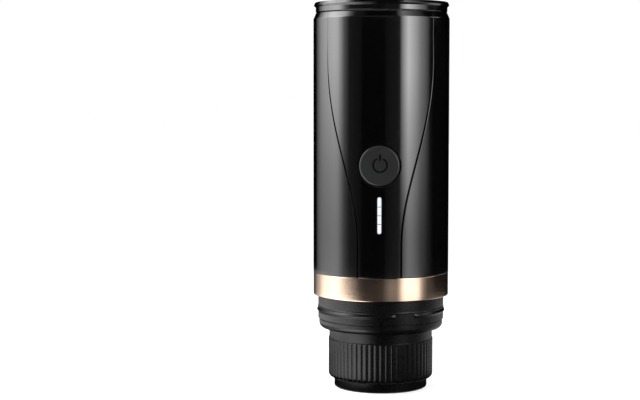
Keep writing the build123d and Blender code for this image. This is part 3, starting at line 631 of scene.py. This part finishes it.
def wall_patch(skin, outline, holes, depth=0.0, step=2.6, margin=0.6):
    """Part of the housing's wall between an outline and holes, all given as (s, v)."""
    outline = divided(np.asarray(outline), step)
    low, high = outline.min(0), outline.max(0)
    columns = np.linspace(low[0], high[0], int((high[0] - low[0]) / step) + 2)[1:-1]
    rows = LEVELS[(LEVELS > low[1] + TINY) & (LEVELS < high[1] - TINY)]
    rows = np.array([row for index, row in enumerate(rows) if not wall_low < row < wall_high or index % 2])
    points, ties = [], []
    for row in rows:
        line = as_vectors(columns, row)
        keep = inside(outline, line)
        keep &= inside(outline, line + (margin, 0)) & inside(outline, line - (margin, 0))
        for hole in holes:
            keep &= ~inside(hole, line)
        first = len(points)
        points += line[keep].tolist()
        if not wall_low < row < wall_high:
            ties += [(index, index + 1) for index in range(first, len(points) - 1)]
    spots, faces = fill(outline, holes, points, ties)
    skin.add(*on_body(spots[:, 0], spots[:, 1], depth)[:2], faces)


def plane_patch(skin, outline, holes, y, facing, sunk=0.0):
    """Face that looks along Y between an outline and holes; y is a number or a function of (x, z) places."""
    spots, faces = fill(outline, holes)
    place = with_y(spots, y(spots) if callable(y) else y)
    skin.add(place, np.tile((0, facing, 0), (len(spots), 1)), faces, sunk)


s_seam, v_seam, across_seam = seam(LEVELS)


def seam_loop(facing, rounded=1):
    """Right and left of the seam in (s, v), on the panel's side (facing 1) or the shell's (-1)."""
    sides = []
    for hand in (1, -1):
        wall, edge = seam_sizes(v_seam, facing, hand)
        offset = (wall - facing * rounded * edge)[:, None]
        line = as_vectors(s_seam, v_seam) + across_seam * offset
        line[0, 1], line[-1, 1] = LEVELS[0], LEVELS[-1]
        sides.append(line)
    return sides[0], sides[1][::-1] * (-1, 1)


def button_hole(offset=0.0):
    """The button's bore, widened by an offset."""
    loop, outward = round_loop(BORE_RADIUS, BUTTON_LEVEL)
    return loop + outward * offset, outward


def light_hole(offset=0.0):
    """The light bar's slot, widened by an offset."""
    loop, outward = bar_loop(LIGHT_HALF + SLOT_GAP, LIGHT_LOW - SLOT_GAP, LIGHT_HIGH + SLOT_GAP)
    return loop + outward * offset, outward


def front_panel():
    """Tulip-shaped panel with rounded edges at the seam, the button's bore and the light bar's slot."""
    skin = Skin()
    holes = [unrolled(button_hole(BORE_EDGE)[0]), unrolled(light_hole(SLOT_EDGE)[0])]
    wall_patch(skin, np.concatenate(seam_loop(1)), holes)
    seam_edge(skin, 1, BODY_RADIUS - PANEL_RADIUS)
    edge_wall(skin, *button_hole(), BORE_EDGE, BORE_FLOOR, solid=-1)
    edge_wall(skin, *light_hole(), SLOT_EDGE, SLOT_FLOOR, solid=-1)
    skin.piece("front_panel_face", "gloss_black", "housing", "front_panel")


def body_shell():
    """Shell round the panel, with its pocket, top edge and the recess of the charging port."""
    skin = Skin()
    right, left = seam_loop(-1)
    around = left + (2 * math.pi * BODY_RADIUS, 0)
    recess, outward = box_loop(RECESS_HALF, PORT_LEVEL - RECESS_DOWN, PORT_LEVEL + RECESS_UP, RECESS_CORNER)
    hole = unrolled(recess + outward * RECESS_EDGE, True)
    wall_patch(skin, np.concatenate([right[::-1], around[::-1]]), [hole])
    seam_edge(skin, -1, BODY_RADIUS - POCKET_RADIUS)
    edge_wall(skin, recess, outward, RECESS_EDGE, RECESS_FLOOR, side=1, solid=-1)
    socket, outward = box_loop(SOCKET_HALF, PORT_LEVEL - SOCKET_RISE, PORT_LEVEL + SOCKET_RISE, SOCKET_CORNER)
    plane_patch(skin, recess, [socket], RECESS_FLOOR, 1)
    rows = [with_y(socket, y) for y in (RECESS_FLOOR, SOCKET_FLOOR)]
    skin.grid(rows, [with_y(-outward, 0.0)] * 2, closed=True)
    holes = [unrolled(button_hole()[0]), unrolled(light_hole()[0])]
    wall_patch(skin, np.concatenate(seam_loop(-1, 0)), holes, BODY_RADIUS - POCKET_RADIUS)
    mouth = [(PANEL_RADIUS, BODY_HIGH, 0), (MOUTH_RADIUS, BODY_HIGH, 0.2), (MOUTH_RADIUS, MOUTH_LOW, 0)]
    skin.turn(section(mouth, False))
    skin.piece("body_shell_face", "gloss_black", "housing", "body_shell")


def lid():
    """Lid with its flared rim, shallow dished top and skirt."""
    inner, ceiling, dish = 31.05, LID_HIGH - 2.0, LID_HIGH - 0.5
    flare, lip = LID_HIGH - 2.4, LID_HIGH - 1.5
    corners = [
        (inner, LID_LOW, 0.2), (LID_WAIST, LID_LOW, 0.25), (LID_WAIST, flare, 0.35),
        (LID_RADIUS, lip, 0.2), (LID_RADIUS - 0.66, LID_HIGH, 0.25), (LID_RADIUS - 2.6, LID_HIGH, 0.3),
        (LID_RADIUS - 3.1, dish, 0.5), (0, dish, 0), (0, ceiling, 0), (inner, ceiling, 0.3),
    ]
    skin = Skin()
    skin.turn(section(corners))
    skin.piece("lid_face", "gloss_black", "lid", "lid")


def trim_ring():
    """Polished ring with softly broken edges."""
    inner, outer, edge = 32.0, TRIM_RADIUS, 0.35
    corners = [(inner, TRIM_LOW, 0), (outer, TRIM_LOW, edge), (outer, TRIM_HIGH, edge), (inner, TRIM_HIGH, 0)]
    skin = Skin()
    skin.turn(section(corners))
    skin.piece("trim_ring_face", "rose_gold", "housing", "trim_ring")


def thread(radius, low, high, lead, width, starts=2, depth=0.55, run_out=1.2):
    """Radius of a threaded stretch between two levels, whose grooves run out at both ends."""

    def grooved(turned, height):
        wave = (height / lead + turned / (2 * math.pi)) * starts % 1
        ends = np.clip(np.minimum(height - low, high - height) / run_out, 0, 1)
        return radius - depth * ends * np.clip(1 - ((wave - 0.5) / width) ** 2, 0, 1)

    return grooved


def roof(place, middle, half, blunt=0.15):
    """Ridge between 0 and 1 with even flanks and a blunt top about a middle place."""
    away = np.sqrt(((place - middle) / half) ** 2 + blunt**2)
    return np.clip((math.hypot(1, blunt) - away) / (math.hypot(1, blunt) - blunt), 0, 1)


def thread_cover(turned, taper=5.0):
    """How much of the cup's thread stands up at an azimuth: two lengths with tapered ends."""
    degrees = (np.degrees(turned) + 180) % 360 - 180
    cover = np.zeros_like(degrees)
    for first, last in ((32.5, 162.0), (-147.5, 14.5)):
        cover = np.maximum(cover, np.clip(np.minimum(degrees - first, last - degrees) / taper, 0, 1))
    return np.sqrt(np.sin(cover * math.pi / 2))


def base_collar():
    """Collar with its rounded band, groove, index notch, cup thread and spigot."""
    band_high = COLLAR_LOW + BAND_HEIGHT
    thread_low, thread_high = TRIM_LOW - 9.6, TRIM_LOW - 5.4
    line, crest = TRIM_LOW - 6.2, TRIM_LOW - 7.9

    def land(turned, height):
        ridge = 0.62 * roof(height, crest, 1.15) * thread_cover(turned)
        return COLLAR_RADIUS + np.maximum(ridge, 0.22 * roof(height, line, 0.4))

    def notched(rows, middle=2.45, half=0.5, depth=1.3, count=288):
        """Turned surface with an upright notch; its columns are azimuth, drop and lean of the normal."""
        first, last = middle - half, middle + half
        columns = [(angle, 0, 0) for angle in np.linspace(last, first + 360, count)]
        columns += [(first, 0, 90), (first, depth, 90), (first, depth, 0)]
        columns += [(last, depth, 0), (last, depth, -90), (last, 0, -90)]
        azimuth, drop, lean = np.radians(np.array(columns, float).T * [[1], [180 / math.pi], [1]])
        rows = np.array(rows, float)
        radius = rows[:, :1] - np.clip(rows[:, :1] - BAND_RADIUS + 1.5, 0, drop)
        sine, cosine = np.sin(azimuth), -np.cos(azimuth)
        points = as_vectors(radius * sine, radius * cosine, rows[:, 1:2])
        out, side = rows[:, 2:3] * np.cos(lean), np.sin(lean)
        up = rows[:, 3:4] * np.cos(lean)
        normals = as_vectors(out * sine - side * cosine, out * cosine + side * sine, up)
        skin.grid(points, normals, closed=True)

    skin = Skin()
    inner, groove_low, groove_radius = 27.2, band_high - 0.4, BAND_RADIUS - 0.5
    lower = [
        (inner, TRIM_LOW, 0), (inner, COLLAR_LOW, 0.4), (BAND_RADIUS, COLLAR_LOW, 2.8),
        (BAND_RADIUS, groove_low, 0.12), (groove_radius, groove_low, 0.1),
        (groove_radius, band_high, 0.1), (COLLAR_RADIUS, band_high, 0.2), (COLLAR_RADIUS, thread_low, 0),
    ]
    notched(section(lower, False))
    skin.ring(np.linspace(thread_low, thread_high, 43), land)
    spigot, bore, ledge = 31.9, 30.9, TRIM_LOW + 3
    upper = [(COLLAR_RADIUS, thread_high, 0), (COLLAR_RADIUS, TRIM_LOW, 0), (spigot, TRIM_LOW, 0)]
    upper += [(spigot, COLLAR_HIGH, 0.3), (bore, COLLAR_HIGH, 0.3), (bore, ledge, 0)]
    skin.turn(section(upper, False))
    skin.piece("base_collar_face", "matte_black", "housing", "base_collar")


def capsule_holder():
    """Knurled cup: convex ribs under a plain rim, rounded foot, smooth neck with thread grooves."""
    knurl_high = HOLDER_LOW + KNURL_HEIGHT
    corner, rim, fading = 2.5, 0.25, 0.5
    neck_low, neck_high = knurl_high + 6.4, HOLDER_HIGH - 0.4

    def grip(turned, height):
        share = (turned * RIB_COUNT / (2 * math.pi)) % 1
        rib = RIB_DEPTH * (1 - np.sqrt(np.clip(1 - (2 * share - 1) ** 2, 0, 1)))
        fade = np.clip((knurl_high - rim - height) / fading, 0, 1) ** 0.5
        drop = np.clip((HOLDER_LOW + corner - height) / corner, 0, 1)
        return np.minimum(KNURL_RADIUS - rib * fade, KNURL_RADIUS - corner * (1 - np.sqrt(1 - drop**2)))

    skin = Skin()
    foot = np.sin(np.linspace(0, math.pi / 2, 12, endpoint=False))
    rows = [
        HOLDER_LOW + corner * (1 - foot[::-1]),
        np.linspace(HOLDER_LOW + corner, knurl_high - rim - fading, 18)[1:],
        knurl_high - rim - fading * np.linspace(1, 0, 8)[1:] ** 2,
    ]
    skin.ring(np.concatenate(rows), grip, RIB_COUNT * 12)
    shoulder = [
        (KNURL_RADIUS, knurl_high - rim, 0), (KNURL_RADIUS, knurl_high, 0.12),
        (NECK_RADIUS, knurl_high, 0.25), (NECK_RADIUS, neck_low, 0),
    ]
    skin.turn(section(shoulder, False))
    skin.ring(np.linspace(neck_low, neck_high, 60), thread(NECK_RADIUS, neck_low, neck_high, 6.0, 0.32), 288)
    wall, seat, drain = 23.8, 22.8, 14.0
    floor = HOLDER_LOW + 2.6
    ledge = floor + 3.5
    inner = [
        (NECK_RADIUS, neck_high, 0), (NECK_RADIUS, HOLDER_HIGH, 0.3), (wall, HOLDER_HIGH, 0.3),
        (wall, ledge, 0.2), (seat, ledge, 0.2), (seat, floor, 0.4), (drain, floor, 0.2),
        (drain, HOLDER_LOW, 0.2), (KNURL_RADIUS - corner, HOLDER_LOW, 0),
    ]
    skin.turn(section(inner, False))
    skin.piece("capsule_holder_face", "matte_black", "holder", "capsule_holder")


def outlet_cap():
    """Foot with a recessed underside, a nozzle and a funnel."""
    top, recess, recess_high = HOLDER_LOW, 21.0, 2.4
    nozzle, outlet = 4.6, 2.6
    collar, funnel, collar_high = 13.9, 12.3, HOLDER_LOW + 2.2
    corners = [
        (recess, 0, 0.4), (SPOUT_RADIUS, 0, 0.8), (SPOUT_RADIUS, top, 0.2), (collar, top, 0),
        (collar, collar_high, 0.2), (funnel, collar_high, 0.2), (funnel, top, 0.3),
        (outlet, top - 1.6, 0.3), (outlet, 0, 0.2), (nozzle, 0, 0.4), (nozzle, recess_high, 0.4),
        (recess, recess_high, 0.5),
    ]
    skin = Skin()
    skin.turn(section(corners))
    skin.piece("outlet_cap_face", "matte_black", "holder", "outlet_cap")


def lid_plug():
    """Threaded skirt under the lid, with its flange and floor."""
    radius, inner, flange = 27.1, 25.1, 31.0
    low, high, floor = PLUG_LOW + 1.0, LID_LOW - 1.6, PLUG_LOW + 1.8
    skin = Skin()
    skin.turn(section([(0, PLUG_LOW, 0), (radius, PLUG_LOW, 0.4), (radius, low, 0)], False))
    skin.ring(np.linspace(low, high, 64), thread(radius, low, high, 8.0, 0.33), 288)
    upper = [
        (radius, high, 0), (radius, LID_LOW, 0.15), (flange, LID_LOW, 0.2), (flange, PLUG_HIGH, 0.2),
        (inner, PLUG_HIGH, 0.2), (inner, floor, 0.3), (0, floor, 0),
    ]
    skin.turn(section(upper, False))
    skin.piece("lid_plug_face", "inner_plastic", "lid", "lid_plug")


def engrave(skin, loop, depth, face, bevel=0.05):
    """Wall and floor of an engraving with a closed outline, sunk from a face at the front."""
    edge = np.roll(loop, -1, 0) - np.roll(loop, 1, 0)
    inward = unit(as_vectors(-edge[:, 1], edge[:, 0]))
    rows, normals = [], []
    for below, blunt in ((0, 0), (bevel, bevel), (depth, bevel)):
        place = loop + inward * blunt
        rows.append(with_y(place, face(place) + below))
        normals.append(with_y(inward, 0.0 if blunt else -1.0))
    skin.grid(rows, normals, closed=True, sunk=1.0)
    plane_patch(skin, loop + inward * bevel, [], lambda spots: face(spots) + depth, -1, sunk=1.0)


def stroke(middle, first, last, radius, width, count=64):
    """Closed outline, anticlockwise, of a round-ended arc drawn with a pen; angles in degrees."""
    half = width / 2
    sweep = np.radians(np.linspace(first, last, count))
    caps = []
    for end, turn in ((sweep[-1], 0), (sweep[0], math.pi)):
        centre = np.array([math.cos(end), math.sin(end)]) * radius
        caps.append(centre + half * circle(end + turn + np.linspace(0, math.pi, 12)[1:-1]))
    outer, inner = circle(sweep) * (radius + half), circle(sweep[::-1]) * (radius - half)
    return np.concatenate([outer, caps[0], inner, caps[1]]) + middle


def power_button():
    """Satin dished button with a rounded rim, an engraved power sign, a hollow back and a stem."""
    skin = Skin()
    back, ceiling, rim, stem_radius = 31.0, BUTTON_FACE - 1.5, 0.95, 2.0
    inner, flat = BUTTON_RADIUS - 1.3, BUTTON_RADIUS - rim - 0.2
    rows = [
        (inner, back, 0.1), (BUTTON_RADIUS, back, 0.1), (BUTTON_RADIUS, BUTTON_FACE, rim),
        (flat, BUTTON_FACE, 0),
    ]
    skin.turn(section(rows, False), 192)
    hollow = section([(0, ceiling, 0), (inner, ceiling, 0.3), (inner, back, 0)], False)
    skin.turn([(radius, height, -out, -up) for radius, height, out, up in hollow], 96)
    tip = -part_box("power_button")[1][1] / MM
    skin.turn(section([(0, tip, 0), (stem_radius, tip, 0.3), (stem_radius, ceiling, 0)], False), 48)
    skin.turn_to_front(BUTTON_LEVEL)

    def dish(place):
        away = np.hypot(place[:, 0], place[:, 1] - BUTTON_LEVEL)
        return BUTTON_DISH * (1 - (away / flat) ** 2) - BUTTON_FACE

    centre = np.array([SIGN_ASIDE, BUTTON_LEVEL + SIGN_UP])
    ring = stroke(centre, 90 + SIGN_GAP, 450 - SIGN_GAP, SIGN_RADIUS, SIGN_PEN)
    bar = bar_loop(SIGN_BAR_HALF, centre[1] + SIGN_BAR_LOW, centre[1] + SIGN_BAR_HIGH, 12)[0] + (centre[0], 0)
    face = round_loop(flat, BUTTON_LEVEL, 192)[0]
    loose = [round_loop(flat * share, BUTTON_LEVEL, 24 + int(72 * share))[0] for share in (0.12, 0.75, 0.88)]
    spots, faces = fill(face, [ring, bar], np.concatenate(loose))
    lean = -2 * BUTTON_DISH / flat**2 * (spots - (0, BUTTON_LEVEL))
    skin.add(with_y(spots, dish(spots)), with_y(lean, -1.0), faces)
    # The engraving's points carry the sunk mark, which the button's material paints near-black as painted
    # shade.
    for loop in (ring, bar):
        engrave(skin, loop, SIGN_DEPTH, dish)
    skin.piece("power_button_face", "button_black", "button", "power_button")


def light_guide():
    """Light bar: four lit windows parted by narrow grooves."""
    skin = Skin()
    outline, outward = bar_loop(LIGHT_HALF, LIGHT_LOW, LIGHT_HIGH)
    edge, border, corner, depth = 0.12, 0.02, 0.08, 0.3

    def front(place, side):
        return LIGHT_FRONT, np.array([[0, side, 0]])

    edge_wall(skin, outline, outward, edge, LIGHT_BACK, face=front, count=5, sunk=1.0)
    half = LIGHT_HALF - edge - border
    cuts = []
    for level in (LIGHT_LEVEL - LIGHT_PITCH, LIGHT_LEVEL, LIGHT_LEVEL + LIGHT_PITCH):
        cuts.append(box_loop(half, level - LIGHT_CUT / 2, level + LIGHT_CUT / 2, corner, 3)[0])
    plane_patch(skin, outline - outward * edge, cuts, LIGHT_FRONT, -1)
    for cut in cuts:
        engrave(skin, cut, depth, lambda place: LIGHT_FRONT)
    skin.piece("light_guide_face", "light_white", "housing", "light_guide")


def port_cover():
    """Rubber flap with rounded edges and a finger groove, set flush in the back."""
    skin = Skin()
    edge, depth = 0.35, 0.45
    loop, outward = box_loop(COVER_HALF, PORT_LEVEL - COVER_RISE, PORT_LEVEL + COVER_RISE, 1.0)
    edge_wall(skin, loop, outward, edge, COVER_BACK, side=1)
    plane_patch(skin, loop, [], COVER_BACK, -1)
    groove, away = box_loop(3.0, PORT_LEVEL - 3.6, PORT_LEVEL - 2.6, 0.49)
    wall_patch(skin, unrolled(loop - outward * edge, True), [unrolled(groove, True)], step=1.2)
    rows, normals = [], []
    for angle in np.linspace(0, math.pi / 2, 6):
        place = groove - away * depth * math.sin(angle)
        rows.append(with_y(place, on_wall(place, 1)[0] - depth * math.sin(angle)))
        normals.append(with_y(-away, 1.2))
    skin.grid(rows, normals, closed=True)
    plane_patch(skin, groove - away * depth, [], lambda spots: on_wall(spots, 1)[0] - depth, 1)
    skin.piece("port_cover_face", "rubber_black", "port_cover", "port_cover")


front_panel()
body_shell()
lid()
trim_ring()
base_collar()
capsule_holder()
outlet_cap()
lid_plug()
power_button()
light_guide()
port_cover()


# Camera, at the photograph's place

FOCAL_PIXELS, IMAGE_WIDTH = 1500.0, 640
AXIS_PIXELS, TILT_PIXELS = 61.1, 105
CAMERA_DISTANCE = 0.777
CAMERA_HEIGHT = 0.1513
CAMERA_AZIMUTH = math.radians(1.27)
AXIS_OFFSET = math.atan(AXIS_PIXELS / FOCAL_PIXELS)
PITCH = math.atan(TILT_PIXELS / FOCAL_PIXELS)

camera_data = bpy.data.cameras.new("camera")
camera_data.sensor_width = 36.0
camera_data.lens = FOCAL_PIXELS * camera_data.sensor_width / IMAGE_WIDTH
camera_data.clip_start = 0.01
camera = bpy.data.objects.new("camera", camera_data)
camera.location = (
    CAMERA_DISTANCE * math.sin(CAMERA_AZIMUTH),
    -CAMERA_DISTANCE * math.cos(CAMERA_AZIMUTH),
    CAMERA_HEIGHT,
)
camera.rotation_euler = (math.pi / 2 - PITCH, 0, CAMERA_AZIMUTH + AXIS_OFFSET)
bpy.context.scene.collection.objects.link(camera)
bpy.context.scene.camera = camera


# Stage: floor, softboxes and dark cards


def glow_material(name):
    """Material of the softboxes: it glows by the mesh's own layer of values."""
    material = bpy.data.materials.new(name)
    nodes = Nodes(material)
    light = nodes.node("Emission", Strength=nodes.layer("glow"))
    nodes.node("OutputMaterial", Surface=light.outputs["Emission"])
    return material


def arc_card(name, rows, profile):
    """Curved card round the object, lit by its own glow.

    Rows are (radius, level, share of the first glow, share of the second), in metres; profile rows are
    (azimuth from the front, first glow, second glow).
    """
    azimuths, first, second = np.array(profile, float).T
    fine = np.linspace(azimuths[0], azimuths[-1], int(azimuths[-1] - azimuths[0]) + 2)
    angles = np.radians(fine)
    count = len(fine)
    points, glows, faces = [], [], []
    for index, (radius, level, one, two) in enumerate(rows):
        points += [(radius * math.sin(angle), -radius * math.cos(angle), level) for angle in angles]
        glows.append(np.interp(fine, azimuths, one * first + two * second))
        if index:
            low = (index - 1) * count
            faces += [(i, i + 1, i + 1 + count, i + count) for i in range(low, low + count - 1)]
    mesh = bpy.data.meshes.new(name)
    mesh.from_pydata(points, [], faces)
    layer = mesh.attributes.new("glow", "FLOAT", "POINT")
    layer.data.foreach_set("value", np.concatenate(glows).astype(np.float32))
    mesh.materials.append(glow_material(name))
    card = bpy.data.objects.new(name, mesh)
    card.visible_camera = False
    card.visible_shadow = False
    bpy.context.scene.collection.objects.link(card)
    return card


CARD_RADIUS, CARD_TOP, CARD_FOOT, CARD_LOW = 0.42, 0.62, 0.0005, 0.014
DARK_RADIUS, DARK_TOP, DARK_HOLE, DARK_LEVEL = 0.44, 0.9, 0.0245, 0.0003

# Glow by azimuth, tuned to the brightness that the photo shows in each mirrored direction
LEFT_LIGHT = [
    (-138, 0, 0), (-126, 0.45, 0.3), (-82, 4.1, 1.5), (-74, 4.1, 1.5), (-61, 0.8, 0.42), (-52, 0.08, 0.1),
    (-30, 0.03, 0.02),
]
RIGHT_LIGHT = [
    (8, 0.03, 0.03), (31, 0.08, 0.1), (36, 2.6, 0.6), (45.5, 6.2, 1.6), (52, 5.0, 1.5), (68, 1.9, 0.5),
    (84, 0.4, 0.1), (87, 0.04, 0.08), (94, 0.01, 0.01),
]
LOW_LIGHT = [
    (-180, 0.02, 0.02), (-146, 0.1, 0.6), (-124, 0.6, 1.6), (-108, 1.5, 3.2), (-84, 1.95, 4.2),
    (-74, 1.85, 4.4), (-66, 1.2, 4.6), (-54, 0.55, 4.4), (-43, 0.19, 2.6), (-34, 0.05, 0.9), (-26, 0.03, 0.2),
    (-6, 0.04, 0.03), (4, 0.06, 0.03), (11, 0.16, 0.02), (17, 0.25, 0.02), (27, 0.26, 0.02), (31, 0.5, 0.02),
    (36, 1.3, 0.02), (42, 1.95, 0.02), (60, 1.85, 0.02), (66, 1.4, 0.03), (71, 0.6, 0.04), (76, 0.26, 0.1),
    (84, 0.08, 0.3), (105, 0.015, 0.7), (123, 0.01, 0.8), (140, 0.01, 0.5), (180, 0.01, 0.02),
]
NEAR_LIGHT = [
    (-180, 0.02, 0), (-125, 0.15, 0), (-100, 0.6, 0), (-80, 1.3, 0), (-66, 3.2, 0), (-50, 4.6, 0),
    (-30, 4.6, 0), (-20, 1.4, 0), (-10, 0.1, 0), (0, 0.02, 0), (60, 0.02, 0), (90, 0.3, 0), (120, 0.8, 0),
    (150, 0.4, 0), (180, 0.02, 0),
]
FRONT_LIGHT = [(-40, 0, 0), (-28, 0.5, 0), (20, 0.5, 0), (30, 0, 0)]
FAR_LIGHT = [(84, 0.1, 0), (92, 2.0, 0), (106, 2.0, 0), (116, 0, 0)]
NO_LIGHT = [(-180, 0, 0), (180, 0, 0)]

# Shares of the glow by level or by radius, in metres
LEFT_RISE = [(CARD_LOW, 0.1), (0.045, 0.06), (0.09, 0.22), (0.125, 0.5), (0.18, 1.0)]
LEFT_HEAD = [(0.26, 1.15), (0.32, 1.8), (0.44, 1.8), (0.5, 1.02), (CARD_TOP, 1.02)]
RIGHT_RISE = [(CARD_LOW, 0.03), (0.045, 0.03), (0.075, 0.2), (0.135, 0.7), (0.17, 1.0)]
RIGHT_HEAD = [(0.4, 1), (0.47, 0.25), (CARD_TOP, 0.25)]
LOW_SHARES = [(0.17, 0, 0), (0.2, 0, 1), (0.35, 0, 1), (0.37, 1, 0), (CARD_RADIUS, 1, 0)]
NEAR_SHARES = [(0.04, 0), (0.065, 1), (0.17, 1), (0.2, 0)]
HIGH_SHARES = [(0.222, 0), (0.232, 1), (0.308, 1), (0.318, 0)]

for name, rise, head, profile in (
    ("softbox_left", LEFT_RISE, LEFT_HEAD, LEFT_LIGHT),
    ("softbox_right", RIGHT_RISE, RIGHT_HEAD, RIGHT_LIGHT),
):
    rows = [(CARD_RADIUS, level, share, 1 - share) for level, share in rise]
    arc_card(name, rows + [(CARD_RADIUS, level, share, 0) for level, share in head], profile)
rows = [(radius, CARD_FOOT, one, two) for radius, one, two in LOW_SHARES]
unseen = [arc_card("low_light", rows + [(CARD_RADIUS, CARD_LOW, 1, 0)], LOW_LIGHT)]
rows = [(radius, CARD_FOOT - 0.0001, share, 0) for radius, share in NEAR_SHARES]
unseen.append(arc_card("near_light", rows, NEAR_LIGHT))
for name, profile in (("softbox_front", FRONT_LIGHT), ("softbox_far", FAR_LIGHT)):
    arc_card(name, [(CARD_RADIUS - 0.005, level, share, 0) for level, share in HIGH_SHARES], profile)
unseen.append(arc_card("dark_cards", [(DARK_RADIUS, 0.0, 0, 0), (DARK_RADIUS, DARK_TOP, 0, 0)], NO_LIGHT))
rows = [(radius, DARK_LEVEL, 0, 0) for radius in (DARK_HOLE, DARK_RADIUS)]
unseen.append(arc_card("dark_floor", rows, NO_LIGHT))
for card in unseen:
    card.visible_diffuse = False


world = bpy.data.worlds.new("world")
bpy.context.scene.world = world
SKY_LIGHT, SKY_SEEN, FLOOR_GLOW, FLOOR_HALF = 0.5, 1.0, 0.6, 4
nodes = Nodes(world)
strength = nodes.node("MapRange", Value=nodes.backdrop_rays(), To_Min=SKY_LIGHT, To_Max=SKY_SEEN)
sky = nodes.node("Background", Color=(1, 1, 1, 1), Strength=strength.outputs["Result"])
nodes.node("OutputWorld", Surface=sky.outputs["Background"])

floor_mesh = bpy.data.meshes.new("floor")
corners = [(x * FLOOR_HALF, y * FLOOR_HALF, 0) for x, y in ((-1, -1), (1, -1), (1, 1), (-1, 1))]
floor_mesh.from_pydata(corners, [], [(0, 1, 2, 3)])
ground = Finish("floor", (0.9, 0.9, 0.9), 0.8, Specular_IOR_Level=0.1, Emission_Color=(1, 1, 1, 1))
ground.vary_colour(ground.noise(40), (0.89, 0.89, 0.89), (0.91, 0.91, 0.91))
lift = ground.node("Math")
lift.operation = "MULTIPLY"
lift.inputs[1].default_value = FLOOR_GLOW
ground.join(ground.backdrop_rays(), lift.inputs[0])
ground.join(lift.outputs[0], ground.shader.inputs["Emission Strength"])
floor_mesh.materials.append(ground.material)
floor = bpy.data.objects.new("floor", floor_mesh)
floor.location.z = -0.00002
bpy.context.scene.collection.objects.link(floor)

bpy.context.scene.view_settings.view_transform = "Standard"

bpy.context.view_layer.update()
